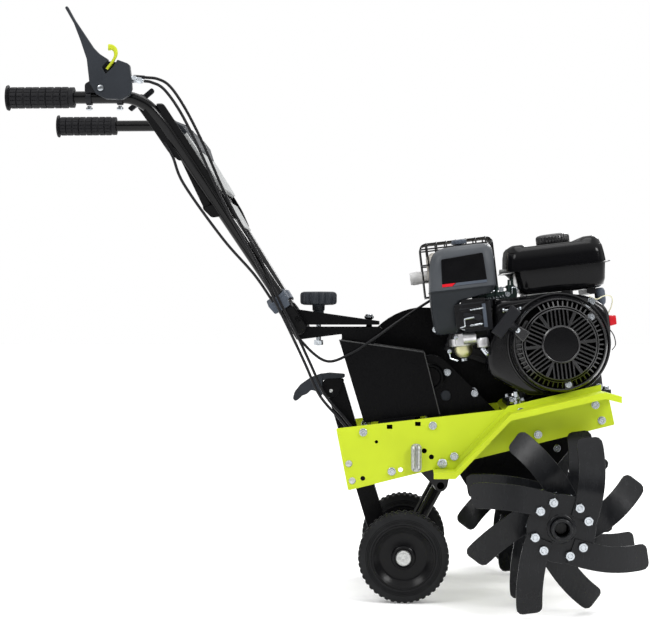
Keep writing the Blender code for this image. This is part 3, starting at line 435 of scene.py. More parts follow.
class Shape:
    """A mesh under construction. Each call adds one closed form."""

    def __init__(self):
        self.bm = bmesh.new()

    def rings(self, rings, closed=False):
        """Faces over rings of points, capped at both ends unless the rings close on themselves."""
        made = [[self.bm.verts.new(p) for p in ring] for ring in rings]
        pairs = list(zip(made, made[1:]))
        if closed:
            pairs.append((made[-1], made[0]))
        for one, two in pairs:
            count = len(one)
            for i in range(count):
                j = (i + 1) % count
                self.bm.faces.new((one[i], two[i], two[j], one[j]))
        if not closed:
            self.bm.faces.new(made[0])
            self.bm.faces.new(made[-1])
        return self

    def lathe(self, profile, centre=(0, 0, 0), axis=(0, 0, 1), steps=32, closed=False):
        """The (radius, along) profile turned round an axis; a radius may be a function of the angle."""
        axis = Vector(axis).normalized()
        side = axis.orthogonal().normalized()
        up = axis.cross(side)
        rings = []
        for radius, along in profile:
            ring = []
            for i in range(steps):
                angle = 2 * math.pi * i / steps
                reach = radius(angle) if callable(radius) else radius
                outward = side * math.cos(angle) + up * math.sin(angle)
                ring.append(Vector(centre) + axis * along + outward * reach)
            rings.append(ring)
        return self.rings(rings, closed)

    def prism(self, outline, low, high, holes=(), axis="Y"):
        """A slab of the outline between two planes across an axis, with holes right through."""
        place = {"Y": lambda a, b, t: (a, t, b), "Z": lambda a, b, t: (a, b, t), "X": lambda a, b,
                 t: (t, a, b)}[axis]
        if not holes:
            return self.rings([[place(a, b, t) for a, b in outline] for t in (low, high)])
        edges = []
        for loop in (outline, *holes):
            verts = [self.bm.verts.new(place(a, b, low)) for a, b in loop]
            edges += [self.bm.edges.new(pair) for pair in zip(verts, verts[1:] + verts[:1])]
        filled = bmesh.ops.triangle_fill(self.bm, edges=edges, use_beauty=True)
        faces = [item for item in filled["geom"] if isinstance(item, bmesh.types.BMFace)]
        swept = bmesh.ops.extrude_face_region(self.bm, geom=faces)
        verts = [item for item in swept["geom"] if isinstance(item, bmesh.types.BMVert)]
        bmesh.ops.translate(self.bm, verts=verts, vec=place(0.0, 0.0, high - low))
        return self

    def box(self, low, high, corner=0.0, steps=4):
        """A block between two corners, its upright edges rounded."""
        outline = [(low[0], low[1]), (high[0], low[1]), (high[0], high[1]), (low[0], high[1])]
        if corner:
            outline = rounded(outline, corner, steps)
        return self.prism(outline, low[2], high[2], axis="Z")

    def moulding(self, sections, steps=6):
        """Sections of (z, x0, x1, y0, y1, corner radius), joined upwards."""
        rings = []
        for z, x0, x1, y0, y1, corner in sections:
            loop = rounded([(x0, y0), (x1, y0), (x1, y1), (x0, y1)], corner, steps)
            rings.append([(x, y, z) for x, y in loop])
        return self.rings(rings)

    def sweep(self, points, radius, sides=12, wide=1.0):
        """A round bar along points; a radius may be a function of the share of the way."""
        points = [Vector(p) for p in points]
        rings = []
        side = None
        for i, here in enumerate(points):
            along = (points[min(i + 1, len(points) - 1)] - points[max(i - 1, 0)]).normalized()
            side = along.orthogonal() if side is None else side - along * side.dot(along)
            side = side.normalized()
            up = along.cross(side)
            reach = radius(i / (len(points) - 1)) if callable(radius) else radius
            rings.append([here + (side * math.cos(a) * wide + up * math.sin(a)) * reach
                          for a in (2 * math.pi * j / sides for j in range(sides))])
        return self.rings(rings)

    def bolt(self, place, axis, across, head=None, washer=1.9):
        """A chamfered hexagon head on its washer, standing off a face."""
        head = head or across * 0.42
        axis = Vector(axis).normalized()
        thick = across * 0.1
        hexed = hexagon(across)
        flange = across * washer / 2
        place = Vector(place)
        self.lathe([(flange, -0.0004), (flange, thick * 0.8), (flange - thick * 0.3, thick)], place, axis,
                   24)
        dish = across * 0.5 * 0.97
        self.lathe([(hexed, thick), (hexed, thick + head * 0.78), (dish, thick + head),
                    (dish * 0.62, thick + head), (dish * 0.5, thick + head * 0.86)], place, axis, 36)
        return self

    def stud(self, place, axis, across, length):
        """A nut with its washer and the threaded end standing out of it."""
        axis = Vector(axis).normalized()
        self.bolt(place, axis, across, across * 0.5, 1.8)
        turns = []
        count = 10
        for i in range(count):
            along = across * 0.5 + length * i / count
            turns += [(across * 0.27, along), (across * 0.235, along + length * 0.5 / count)]
        self.lathe(turns, place, axis, 20)
        return self

    def moved(self, matrix):
        """Carries the whole form over by a matrix."""
        self.bm.transform(matrix)
        return self

    def absorb(self, other):
        """Takes in the form of another shape, which is used up."""
        mesh = bpy.data.meshes.new("part")
        other.bm.to_mesh(mesh)
        other.bm.free()
        self.bm.from_mesh(mesh)
        bpy.data.meshes.remove(mesh)
        return self


def piece(name, shape, look, body, stands_for=(), bevel=0.0, segments=2, sharp=32.0, subdivide=0):
    """The finished object of a shape, riding on its body."""
    bm = shape.bm
    bmesh.ops.recalc_face_normals(bm, faces=bm.faces)
    mesh = bpy.data.meshes.new(name)
    bm.to_mesh(mesh)
    bm.free()
    mesh.shade_smooth()
    mesh.set_sharp_from_angle(angle=math.radians(sharp))
    mesh.materials.append(LOOKS[look])
    made = bpy.data.objects.new(name, mesh)
    bpy.context.scene.collection.objects.link(made)
    if bevel:
        modifier = made.modifiers.new("edges", "BEVEL")
        modifier.width = bevel
        modifier.segments = segments
        modifier.limit_method = "ANGLE"
        modifier.angle_limit = math.radians(sharp)
        modifier.harden_normals = True
    if subdivide:
        modifier = made.modifiers.new("smooth", "SUBSURF")
        modifier.levels = modifier.render_levels = subdivide
    if body:
        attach(made, body)
    if stands_for:
        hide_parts(*stands_for)
    return made


def finished(node, look, bevel=0.0008, segments=2, sharp=32.0):
    """The CAD form with its facets joined, its edges broken and a smooth finish."""
    shape = Shape()
    shape.bm.from_mesh(frame["nodes"][node].data)
    bmesh.ops.remove_doubles(shape.bm, verts=shape.bm.verts, dist=2e-6)
    bmesh.ops.dissolve_limit(shape.bm, angle_limit=math.radians(0.4), verts=shape.bm.verts,
                             edges=shape.bm.edges)
    return piece(f"{node}_finish", shape, look, BODY_OF[node], [node], bevel, segments, sharp)


# ---------------------------------------------------------------- handlebar and its controls
GRIP_END = -0.607
GRIP_Y = 0.23
GRIP_Z = 0.976
GRIP_LENGTH = 0.13
BAR_TOP = Vector((-0.3106, 0.215, 0.932))
BAR_FOOT = Vector((-0.0613, 0.048, 0.5445))
TUBE = 0.012


def tubes():
    """The two bent tubes, open at the grips and pressed flat at the foot."""
    for name, side in SIDES:
        corners = [(GRIP_END + 0.004, GRIP_Y, GRIP_Z), (-0.366, GRIP_Y, GRIP_Z), (-0.335, 0.226, 0.9605),
                   BAR_TOP, BAR_FOOT]
        route = bent([Vector((x, side * y, z)) for x, y, z in corners], 0.02, 5)
        tube = Shape().sweep(route, TUBE, 32)
        piece(f"handlebar_tube_{name}", tube, "tube", "handlebar", [f"handlebar_{name}"],
              0.0012)


def grips():
    """Rubber grips cut into blocks: eight bands round, sixteen along, and a flange at the open end."""
    bands, cuts, steps = 8, 16, 128
    shoulder = 0.0205
    for name, side in SIDES:
        rings = []
        stations = 96
        for i in range(stations + 1):
            along = GRIP_LENGTH * i / stations
            inside = (along - 0.006) / (GRIP_LENGTH - 0.016)
            phase = abs((inside * bands) % 1.0 - 0.5)
            groove = max(0.0, (phase - 0.41) / 0.09) if 0.0 < inside < 1.0 else 1.0
            if along < 0.004:
                base, groove = 0.025 - 0.0012 * (1 - along / 0.004), 0.0
            elif along > GRIP_LENGTH - 0.009:
                base, groove = 0.0198, 0.0
            else:
                base = shoulder
            ring = []
            for j in range(steps):
                angle = 2 * math.pi * j / steps
                slit = max(0.0, (abs((cuts * j / steps) % 1.0 - 0.5) - 0.4) / 0.1)
                depth = 0.0 if base > shoulder or groove == 0.0 and base < shoulder else max(
                    0.0022 * min(1.0, groove * 1.6), 0.0011 * min(1.0, slit))
                reach = base - depth
                ring.append((GRIP_END + along, side * GRIP_Y + reach * math.cos(angle),
                             GRIP_Z + reach * math.sin(angle)))
            rings.append(ring)
        inner = [[(x, side * GRIP_Y + (TUBE + 0.0003) * math.cos(2 * math.pi * j / steps),
                   GRIP_Z + (TUBE + 0.0003) * math.sin(2 * math.pi * j / steps)) for j in range(steps)]
                 for x in (GRIP_END + GRIP_LENGTH, GRIP_END)]
        grip = Shape().rings(rings + inner, closed=True)
        piece(f"grip_rubber_{name}", grip, "grip", "handlebar", [f"grip_{name}"], sharp=50)


def bar_frame(side):
    """Matrix of a tube's straight part: X down the tube, Z square to the plane of both tubes, Y across."""
    top = Vector((BAR_TOP.x, side * BAR_TOP.y, BAR_TOP.z))
    foot = Vector((BAR_FOOT.x, side * BAR_FOOT.y, BAR_FOOT.z))
    along = (foot - top).normalized()
    middle = Vector((BAR_FOOT.x - BAR_TOP.x, 0.0, BAR_FOOT.z - BAR_TOP.z)).normalized()
    up = Vector((-middle.z, 0.0, middle.x))
    up = (up - along * up.dot(along)).normalized()
    across = up.cross(along)
    return Matrix.Translation(top) @ Matrix((along, across, up)).transposed().to_4x4()


def console():
    """The moulded tray between the tubes with its pale label, its side straps, screws and stay."""
    straps, screws = Shape(), Shape()
    for _, side in SIDES:
        place = bar_frame(side)
        cover = Shape().prism(rounded([(-0.034, 0.008), (0.222, 0.008), (0.244, 0.015), (0.2, 0.0205),
                                       (-0.026, 0.0215)], 0.006), -0.006, 0.006)
        under = Shape().prism(rounded([(-0.034, -0.0225), (0.058, -0.0225), (0.082, -0.015), (0.086, -0.008),
                                       (-0.04, -0.008)], 0.0045), -0.0075, 0.0075)
        brace = Shape().prism([(0.082, -0.011), (0.205, -0.011), (0.2, -0.023), (0.188, -0.0265)], -0.0045,
                              0.0045)
        clip = Shape().prism(rounded([(0.186, -0.029), (0.212, -0.024), (0.22, -0.008), (0.19, -0.008)],
                                     0.005),
                             -0.009, 0.009)
        for part in (cover, under, brace, clip):
            straps.absorb(part.moved(place))
        for along in (-0.028, 0.03):
            screws.bolt(place @ Vector((along, -side * 0.0068, -0.0182)),
                        place.to_3x3() @ Vector((0, -side, 0)), 0.0045, 0.0018)
        screws.bolt(place @ Vector((0.196, -side * 0.0074, -0.021)), place.to_3x3() @ Vector((0, -side, 0)),
                    0.007)
    piece("console_straps", straps, "black", "handlebar", (), 0.0012)
    piece("console_screws", screws, "zinc", "handlebar")

    def across(share, inset, lift):
        """A pair of places, one beside each tube, lifted off the plane of the tubes."""
        place = BAR_TOP.lerp(BAR_FOOT, share)
        up = bar_frame(-1.0).to_3x3() @ Vector((0.0, 0.0, lift))
        return [Vector((place.x + up.x, side * (place.y - inset), place.z + up.z)) for _, side in SIDES]

    tray = Shape()
    rings = []
    for share, lift in ((-0.05, 0.008), (-0.04, 0.012), (0.02, 0.016), (0.25, 0.016), (0.36, 0.013),
                        (0.42, 0.005)):
        right, left = across(share, 0.006, 0.0)
        up = bar_frame(-1.0).to_3x3() @ Vector((0.0, 0.0, 1.0))
        ring = [right + up * 0.002, right + up * lift * 0.8, right.lerp(left, 0.05) + up * lift,
                right.lerp(left, 0.5) + up * (lift + 0.002), right.lerp(left, 0.95) + up * lift,
                left + up * lift * 0.8, left + up * 0.002]
        rings.append(ring)
    tray.rings(rings)
    piece("console_tray", tray, "plastic", "handlebar", ["handlebar_panel"], 0.003, 3, 25)

    label = Shape()
    rings = []
    up = bar_frame(-1.0).to_3x3() @ Vector((0.0, 0.0, 1.0))
    for share, inset in ((0.075, 0.05), (0.085, 0.03), (0.12, 0.02), (0.305, 0.014), (0.33, 0.018),
                         (0.345, 0.032)):
        right, left = across(share, inset, 0.0)
        lift = 0.0175
        rings.append([right + up * lift, right + up * (lift + 0.0085), left + up * (lift + 0.0085),
                      left + up * lift])
    label.rings(rings)
    low_right, low_left = across(0.385, 0.01, 0.0)
    end_right, end_left = across(0.52, 0.012, 0.0)
    label.rings([[place + up * lift for place, lift in ((low_right, 0.0125), (low_right, 0.0165),
                                                        (low_left, 0.0165), (low_left, 0.0125))],
                 [place + up * lift for place, lift in ((end_right, 0.0125), (end_right, 0.015),
                                                        (end_left, 0.015), (end_left, 0.0125))]])
    piece("console_label", label, "pale", "handlebar", (), 0.0012)
    hump = Shape()
    rings = []
    for share, lift in ((0.0, 0.004), (0.01, 0.02), (0.045, 0.032), (0.095, 0.034), (0.15, 0.028),
                        (0.165, 0.018)):
        right, left = across(share, 0.045 + 0.02 * abs(share - 0.08), 0.0)
        rings.append([right + up * 0.004, right + up * lift * 0.8, right.lerp(left, 0.04) + up * lift,
                      right.lerp(left, 0.96) + up * lift, left + up * lift * 0.8, left + up * 0.004])
    hump.rings(rings)
    piece("console_hump", hump, "slate", "handlebar", (), 0.003, 3, 25)


def swivel_joint():
    """Bracket and base of the side swing, the pivot bolt, and the tube feet with their bolts and sleeves."""
    finished("swivel_bracket", "black", 0.0016)
    finished("swivel_base", "black", 0.0016)
    bolts, frame_bolts = Shape(), Shape()
    frame_bolts.bolt((SWIVEL.x, 0.0, SWIVEL.z + 0.014), (0, 0, 1), 0.013, 0.0046, 1.5)
    frame_bolts.stud((SWIVEL.x, 0.0, SWIVEL.z - 0.0375), (0, 0, -1), 0.013, 0.004)
    for _, side in SIDES:
        foot = Vector((BAR_FOOT.x, side * (BAR_FOOT.y + 0.01), BAR_FOOT.z + 0.006))
        bolts.bolt(foot + Vector((0.004, side * 0.0028, 0.0)), (0.0, side, 0.0), 0.0105, 0.004, 1.3)
    piece("swivel_bolts", bolts, "black", "handlebar")
    piece("pivot_bolt", frame_bolts, "zinc", "frame")

    length = (BAR_FOOT - BAR_TOP).length
    for name, side in SIDES:
        place = bar_frame(side)
        foot = Shape().prism(rounded([(length - 0.04, -0.0135), (length + 0.02, -0.0135),
                                      (length + 0.026, 0.0), (length + 0.02, 0.0135),
                                      (length - 0.04, 0.0135)], 0.006), -0.0132, 0.0132)
        piece(f"tube_foot_{name}", foot.moved(place), "black", "handlebar", (), 0.003, 3)
        ring = Shape().lathe([(TUBE + 0.0003, -0.01), (TUBE + 0.0042, -0.01), (TUBE + 0.0042, 0.01),
                              (TUBE + 0.0003, 0.01)], (length - 0.062, 0, 0), (1, 0, 0), 36, closed=True)
        piece(f"tube_sleeve_{name}", ring.moved(place), "clip", "handlebar", (), 0.0008)
    cable_clip = Shape().prism(rounded([(0.424, -0.029), (0.448, -0.026), (0.448, 0.01), (0.424, 0.013)],
                                       0.004),
                               -0.0172, 0.0172)
    cable_clip.moved(bar_frame(-1.0))
    piece("cable_clip", cable_clip, "clip", "handlebar", (), 0.001)


def clamp_knob():
    """The fluted hand knob and its bolt, with the lock nut under the base."""
    top = CLAMP.z
    flutes = 12

    def star(radius, depth):
        return lambda angle: radius - depth * (0.5 - 0.5 * math.cos(flutes * angle)) ** 2.2

    knob = Shape().lathe([(0.0105, 0.558 - top), (0.011, 0.5672 - top), (0.0125, 0.568 - top),
                          (0.013, 0.5785 - top), (star(0.03, 0.002), 0.579 - top),
                          (star(0.0365, 0.0038), 0.5812 - top), (star(0.038, 0.0042), 0.585 - top),
                          (star(0.038, 0.0042), 0.6 - top), (star(0.0362, 0.0036), 0.604 - top),
                          (star(0.031, 0.0015), 0.606 - top), (0.012, 0.606 - top), (0.011, 0.604 - top)],
                         CLAMP, (0, 0, 1), 144)
    piece("knob_grip", knob, "slate", "clamp_knob", ["clamp_knob"], sharp=40)
    bolt = Shape()
    bolt.lathe([(0.005, 0.4975 - top), (0.005, 0.569 - top)], CLAMP, (0, 0, 1), 24)
    bolt.lathe([(0.0035, 0.4955 - top), (0.0058, 0.4967 - top), (hexagon(0.0165), 0.497 - top),
                (hexagon(0.0165), 0.505 - top), (0.0092, 0.5062 - top), (0.0092, 0.5068 - top)], CLAMP,
               (0, 0, 1), 36)
    piece("knob_bolt", bolt, "zinc", "clamp_knob")


def clutch_controls():
    """Lever, safety catch, clamp bracket with its screws, and the cable adjusters."""
    finished("clutch_lever", "slate", 0.0022, 3, 40)
    hook = smooth_route([(-0.4098, -0.255, 1.0262), (-0.403, -0.255, 1.035), (-0.3965, -0.255, 1.044),
                         (-0.3925, -0.255, 1.0535), (-0.3935, -0.255, 1.062), (-0.399, -0.255, 1.0675),
                         (-0.4065, -0.255, 1.068)])
    catch = Shape().sweep(hook, lambda share: 0.0029 + 0.0034 * max(0.0, share - 0.4) / 0.6, 20)
    piece("catch_hook", catch, "bright_lime", "safety_catch", ["safety_catch"], 0.001, 3)
    notch = Shape().prism([(-0.425, 1.014), (-0.4, 1.012), (-0.385, 1.03), (-0.39, 1.04),
                           (-0.408, 1.042), (-0.423, 1.03)], -0.252, -0.2485)
    piece("lever_core", notch, "plastic", "clutch_lever", (), 0.0006)
    stick = Shape().prism(rounded([(-0.3785, 0.9585), (-0.3715, 0.952), (-0.327, 0.989), (-0.3275, 0.9945),
                                   (-0.332, 0.9975)], 0.0025, 3), -0.2045, -0.1975)
    stick.lathe([(0.009, -0.0065), (0.011, -0.005), (0.011, 0.005), (0.009, 0.0065)],
                (-0.352, -0.201, 0.974), (0, 1, 0), 28)
    piece("throttle_stick", stick, "plastic", "throttle_lever", ["throttle_lever"], 0.0012,
          3)
    saddle = Shape().prism(rounded([(-0.454, 0.983), (-0.378, 0.983), (-0.378, 1.0), (-0.4, 1.008),
                                    (-0.44, 1.008), (-0.454, 1.0)], 0.004), -0.247, -0.2425)
    saddle.box((-0.454, -0.244, 0.985), (-0.378, -0.225, 0.9905), 0.002)
    for x in (-0.448, -0.3885):
        saddle.lathe([(TUBE + 0.0003, -0.0055), (0.015, -0.0055), (0.015, 0.0055), (TUBE + 0.0003, 0.0055)],
                     (x, -GRIP_Y, GRIP_Z), (1, 0, 0), 36, closed=True)
    piece("lever_saddle", saddle, "plastic", "handlebar", ["lever_bracket"], 0.0008)
    pin = pivot("clutch_squeeze")
    rivet = Shape().lathe([(0.0066, 0.0), (0.0066, 0.0012), (0.0058, 0.0026), (0.003, 0.0033)],
                          (pin.x, -0.2622, pin.z), (0, -1, 0), 28)
    rivet.lathe([(0.0058, 0.0), (0.0058, 0.002), (0.003, 0.0026)], (pin.x, -0.2428, pin.z), (0, 1, 0), 24)
    piece("lever_rivet", rivet, "zinc", "handlebar")
    screws = Shape()
    for x in (-0.448, -0.3885):
        screws.lathe([(0.0038, 0.0), (0.0038, 0.003), (0.0062, 0.0034), (0.0062, 0.0068), (0.004, 0.0084)],
                     (x, -GRIP_Y, GRIP_Z - 0.0164), (0, 0, -1), 20)
    adjuster = Vector((-0.364, -0.252, 1.0085))
    along = Vector((0.975, 0.1, -0.2)).normalized()
    screws.lathe([(0.005, 0.0), (0.005, 0.002), (hexagon(0.0135), 0.0024), (hexagon(0.0135), 0.0095),
                  (0.0048, 0.01), (0.0048, 0.0118), (hexagon(0.0112), 0.0122), (hexagon(0.0112), 0.0205),
                  (0.004, 0.0212), (0.004, 0.024)], adjuster, along, 36)
    piece("lever_fittings", screws, "zinc", "handlebar")
    guides = Shape()
    for place, tail in (((-0.34, -0.236, 1.013), (-0.361, -0.24, 1.014)),
                        ((-0.356, -0.208, 0.96), (-0.356, -0.205, 0.972))):
        guides.sweep([place, tail], 0.0036, 16)
    piece("cable_ends", guides, "plastic", "handlebar", (), 0.0005)


# ---------------------------------------------------------------- cables
CLUTCH_CABLE = [
    (-0.34, -0.246, 1.0045), (-0.325, -0.244, 1.002), (-0.303, -0.238, 0.99), (-0.2743, -0.226, 0.95),
    (-0.2427, -0.205, 0.8862), (-0.2137, -0.186, 0.8188), (-0.188, -0.166, 0.762), (-0.142, -0.13, 0.675),
    (-0.0982, -0.1, 0.582), (-0.0722, -0.094, 0.528), (-0.0427, -0.082, 0.4634), (-0.013, -0.066, 0.3965),
    (0.0272, -0.07, 0.3498), (0.056, -0.076, 0.315), (0.09, -0.08, 0.285),
]
REVERSE_CABLE = [
    (-0.34, -0.236, 1.013), (-0.315, -0.233, 1.01), (-0.292, -0.227, 0.996), (-0.264, -0.214, 0.954),
    (-0.232, -0.192, 0.888), (-0.204, -0.172, 0.82), (-0.179, -0.151, 0.764), (-0.13, -0.113, 0.672),
    (-0.09, -0.092, 0.582), (-0.062, -0.086, 0.528), (-0.033, -0.074, 0.464), (-0.003, -0.056, 0.398),
    (0.036, -0.062, 0.352), (0.062, -0.068, 0.32), (0.094, -0.072, 0.293),
]
THROTTLE_CABLE = [
    (-0.356, -0.208, 0.96), (-0.338, -0.208, 0.935), (-0.2939, -0.206, 0.8708), (-0.2708, -0.192, 0.8121),
    (-0.1991, -0.15, 0.7076), (-0.1402, -0.112, 0.6376), (-0.1015, -0.08, 0.578), (-0.0518, -0.07, 0.5079),
    (-0.0003, -0.078, 0.4661), (0.0489, -0.074, 0.4802), (0.0927, -0.066, 0.5081), (0.1385, -0.048, 0.54),
    (0.1884, -0.022, 0.574), (0.235, -0.014, 0.601), (0.29, -0.014, 0.618), (0.34, -0.022, 0.62),
]


def cables():
    """The three control cables, swept along their routes from the handlebar to the frame."""
    routes = {"clutch_cable": CLUTCH_CABLE, "reverse_cable": REVERSE_CABLE, "throttle_cable": THROTTLE_CABLE}
    for node, route in routes.items():
        sheath = Shape().sweep(smooth_route(route), 0.0028, 14)
        made = piece(f"{node}_sheath", sheath, "sheath", None, [node])
        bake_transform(made)


# ---------------------------------------------------------------- frame
FRAME_REAR_TOP = (0.0225, 0.3344)


def frame_top(x):
    return FRAME_REAR_TOP[1] + (x - FRAME_REAR_TOP[0]) * math.tan(PITCH)


def side_plates():
    """Bent side plates with their punched holes, bolts, rivets and the towing loop."""
    outline = [FRAME_REAR_TOP, (0.0461, 0.2124), (0.5671, 0.3437), (0.5561, frame_top(0.5561))]
    punched = [((0.102, 0.3084), 0.0034), ((0.0751, 0.2364), 0.0048), ((0.1493, 0.2537), 0.0046),
               ((0.1958, 0.2911), 0.005), ((0.2099, 0.2791), 0.005)]
    slots = [(0.1278, 0.338), (0.1833, 0.344)]
    fixed = [(0.076, 0.3272), (0.2127, 0.3407), (0.132, 0.2503), (0.2546, 0.2807), (0.3848, 0.3685),
             (0.5299, 0.3823), (0.5423, 0.3519), (0.4179, 0.3242)]
    riveted = [(0.0477, 0.2653), (0.0544, 0.2318)]
    bolts, rivets, backs = Shape(), Shape(), Shape()
    for name, side in SIDES:
        holes = [circle(centre, radius, 24) for centre, radius in punched]
        holes += [rounded([(x - 0.0055, z - 0.0042), (x + 0.0055, z - 0.0042), (x + 0.0055, z + 0.0042),
                           (x - 0.0055, z + 0.0042)], 0.001, 2) for x, z in slots]
        plate = Shape().prism(rounded(outline, 0.003, 3), side * (FACE - 0.004), side * FACE, holes)
        piece(f"side_plate_sheet_{name}", plate, "lime", "frame", [f"side_plate_{name}"],
              0.0007)
        for x, z in fixed:
            lift = 0.0034 if (x, z) in (fixed[3], fixed[4], fixed[7]) else 0.0
            bolts.bolt((x, side * (FACE + lift), z), (0, side, 0), 0.0112, 0.005, 1.42)
            bolts.stud((x, side * (FACE - 0.004), z), (0, -side, 0), 0.011, 0.004)
        bolts.stud((0.2312, side * (FACE + 0.0034), 0.2665), (0, side, 0), 0.0105, 0.008)
        # Dark discs behind the two slots and two of the holes: painted shade for the frame's inside seen through
        # them.
        for x, z in (*slots, punched[0][0], punched[3][0]):
            backs.lathe([(0.0085, 0.0), (0.0085, 0.001)], (x, side * (FACE - 0.0043), z), (0, -side, 0), 24)
        for x, z in riveted:
            rivets.lathe([(0.0068, -0.0005), (0.0068, 0.0008), (0.0055, 0.0022), (0.002, 0.0028)],
                         (x, side * FACE, z), (0, side, 0), 28)
        loop = bent([(0.1738, side * (FACE - 0.001), 0.2985), (0.1738, side * (FACE + 0.013), 0.3005),
                     (0.1738, side * (FACE + 0.0135), 0.256), (0.1738, side * (FACE - 0.001), 0.258)], 0.009,
                    6)
        for shift in (-0.0055, 0.0055):
            rivets.sweep([p + Vector((shift + 0.0065, 0, 0)) for p in loop], 0.0034, 14)
        rivets.prism(rounded([(0.17, 0.25), (0.1905, 0.25), (0.1905, 0.305), (0.17, 0.305)], 0.009),
                     side * (FACE - 0.0002), side * (FACE + 0.0022))
    piece("hole_shade_discs", backs, "shade_fill", "frame")
    piece("frame_bolts", bolts, "zinc", "frame")
    piece("frame_rivets", rivets, "dull_zinc", "frame", (), 0.0004)


GUARD_FACE = 0.1838         # outer face of the belt guard


def frame_sheets():
    """Deck, guards, box and brackets: sheet metal with its edges broken."""
    for node in ("engine_deck", "tine_guard_right", "tine_guard_left"):
        finished(node, "lime", 0.0009)
    for node in ("handle_support", "case_bracket", "belt_guard_back"):
        finished(node, "black", 0.0012)
    finished("belt_guard_cover", "black", 0.005, 4)
    finished("drive_belt", "belt", 0.001)
    for node in ("driven_pulley", "crankshaft", "idler_arm"):
        finished(node, "pulley", 0.0006)
    tongue = Shape()
    for side in (-1.0, 1.0):
        tongue.prism(rounded([(0.219, 0.256), (0.219, 0.265), (0.264, 0.279), (0.266, 0.264),
                              (0.256, 0.252)],
                             0.003, 2), side * (FACE + 0.0006), side * (FACE + 0.0032))
    piece("guard_tongue", tongue, "lime", "frame", (), 0.0006)
    half = 0.058
    # Thin rods along the front and top edges of the belt box, in a lighter grey: a painted highlight on those
    # edges.
    lines = Shape()
    for side in (-1.0, 1.0):
        front = [(0.1968, side * half, 0.4836), (0.2278, side * half, frame_top(0.2278) + 0.0006)]
        top = [(0.0257, side * half, 0.5077), (0.1968, side * half, 0.4836)]
        for route in (front, top):
            lines.sweep([Vector(p) - Vector((0.0, side * 0.0004, 0.0)) for p in route], 0.0012, 8)
    piece("box_edge_highlights", lines, "edge_highlight_grey", "frame")
    screws = Shape()
    for angle in range(8):
        turn = math.radians(20 + angle * 45)
        x, z = DRIVEN.x + 0.14 * math.cos(turn), DRIVEN.z + 0.112 * math.sin(turn)
        if z > 0.3 + 0.02 and x < 0.34:
            screws.bolt((x, GUARD_FACE, z), (0, 1, 0), 0.01, 0.004, 1.6)
    for place in ((0.5, 0.535), (0.495, 0.455), (0.42, 0.56), (0.33, 0.372)):
        screws.bolt((place[0], GUARD_FACE, place[1]), (0, 1, 0), 0.01, 0.004, 1.6)
    piece("guard_screws", screws, "zinc", "frame")
    ribs = Shape()
    for reach in (0.03, 0.052, 0.074):
        ribs.lathe([(reach - 0.0022, -0.0004), (reach - 0.001, 0.002), (reach + 0.001, 0.002),
                    (reach + 0.0022, -0.0004)], (DRIVEN.x, GUARD_FACE, DRIVEN.z), (0, 1, 0), 72, closed=True)
    piece("guard_ribs", ribs, "black", "frame")


CASE_FACE = 0.0348          # outer faces of the chain case


def drive_case():
    """The chain case with its seam flange, bearing bosses, filler plug and bolts."""
    for name, _ in SIDES:
        finished(f"chain_case_{name}", "black", 0.004, 4)
    boss, bolts, plug = Shape(), Shape(), Shape()
    for side in (-1.0, 1.0):
        face = side * CASE_FACE
        for centre, radii in ((DRIVEN, (0.0215, 0.029)), (TINE, (0.0245, 0.034))):
            inner, outer = radii
            if side < 0 and centre is DRIVEN:
                boss.lathe([(outer, 0.0), (outer, 0.006), (outer - 0.004, 0.009), (inner, 0.009),
                            (inner - 0.002, 0.004), (0.008, 0.004)], (centre.x, face, centre.z),
                           (0, side, 0), 48)
            else:
                boss.lathe([(outer, 0.0), (outer, 0.006), (outer - 0.003, 0.009), (inner, 0.009),
                            (0.0165, 0.007), (0.0165, 0.0)], (centre.x, face, centre.z), (0, side, 0), 48,
                           closed=True)
    plug.lathe([(0.0105, 0.0), (0.0105, 0.0045), (0.009, 0.006), (0.004, 0.0065)],
               (0.2405, -CASE_FACE, 0.3955), (0, -1, 0), 28)
    for x, z in ((0.244, 0.442), (0.299, 0.4), (0.39, 0.205), (0.33, 0.195), (0.49, 0.175)):
        bolts.bolt((x, -CASE_FACE, z), (0, -1, 0), 0.0105, 0.005, 1.35)
        bolts.bolt((x, CASE_FACE, z), (0, 1, 0), 0.012, 0.005, 1.5)
    for x, z in ((0.464, 0.29), (0.395, 0.315)):
        bolts.bolt((x, -0.0396, z), (0, -1, 0), 0.0105, 0.005, 1.35)
        bolts.bolt((x, 0.0396, z), (0, 1, 0), 0.012, 0.005, 1.5)
    piece("case_bosses", boss, "black", "frame", (), 0.0006)
    piece("case_plug", plug, "slate", "frame", (), 0.0006)
    piece("case_bolts", bolts, "zinc", "frame")


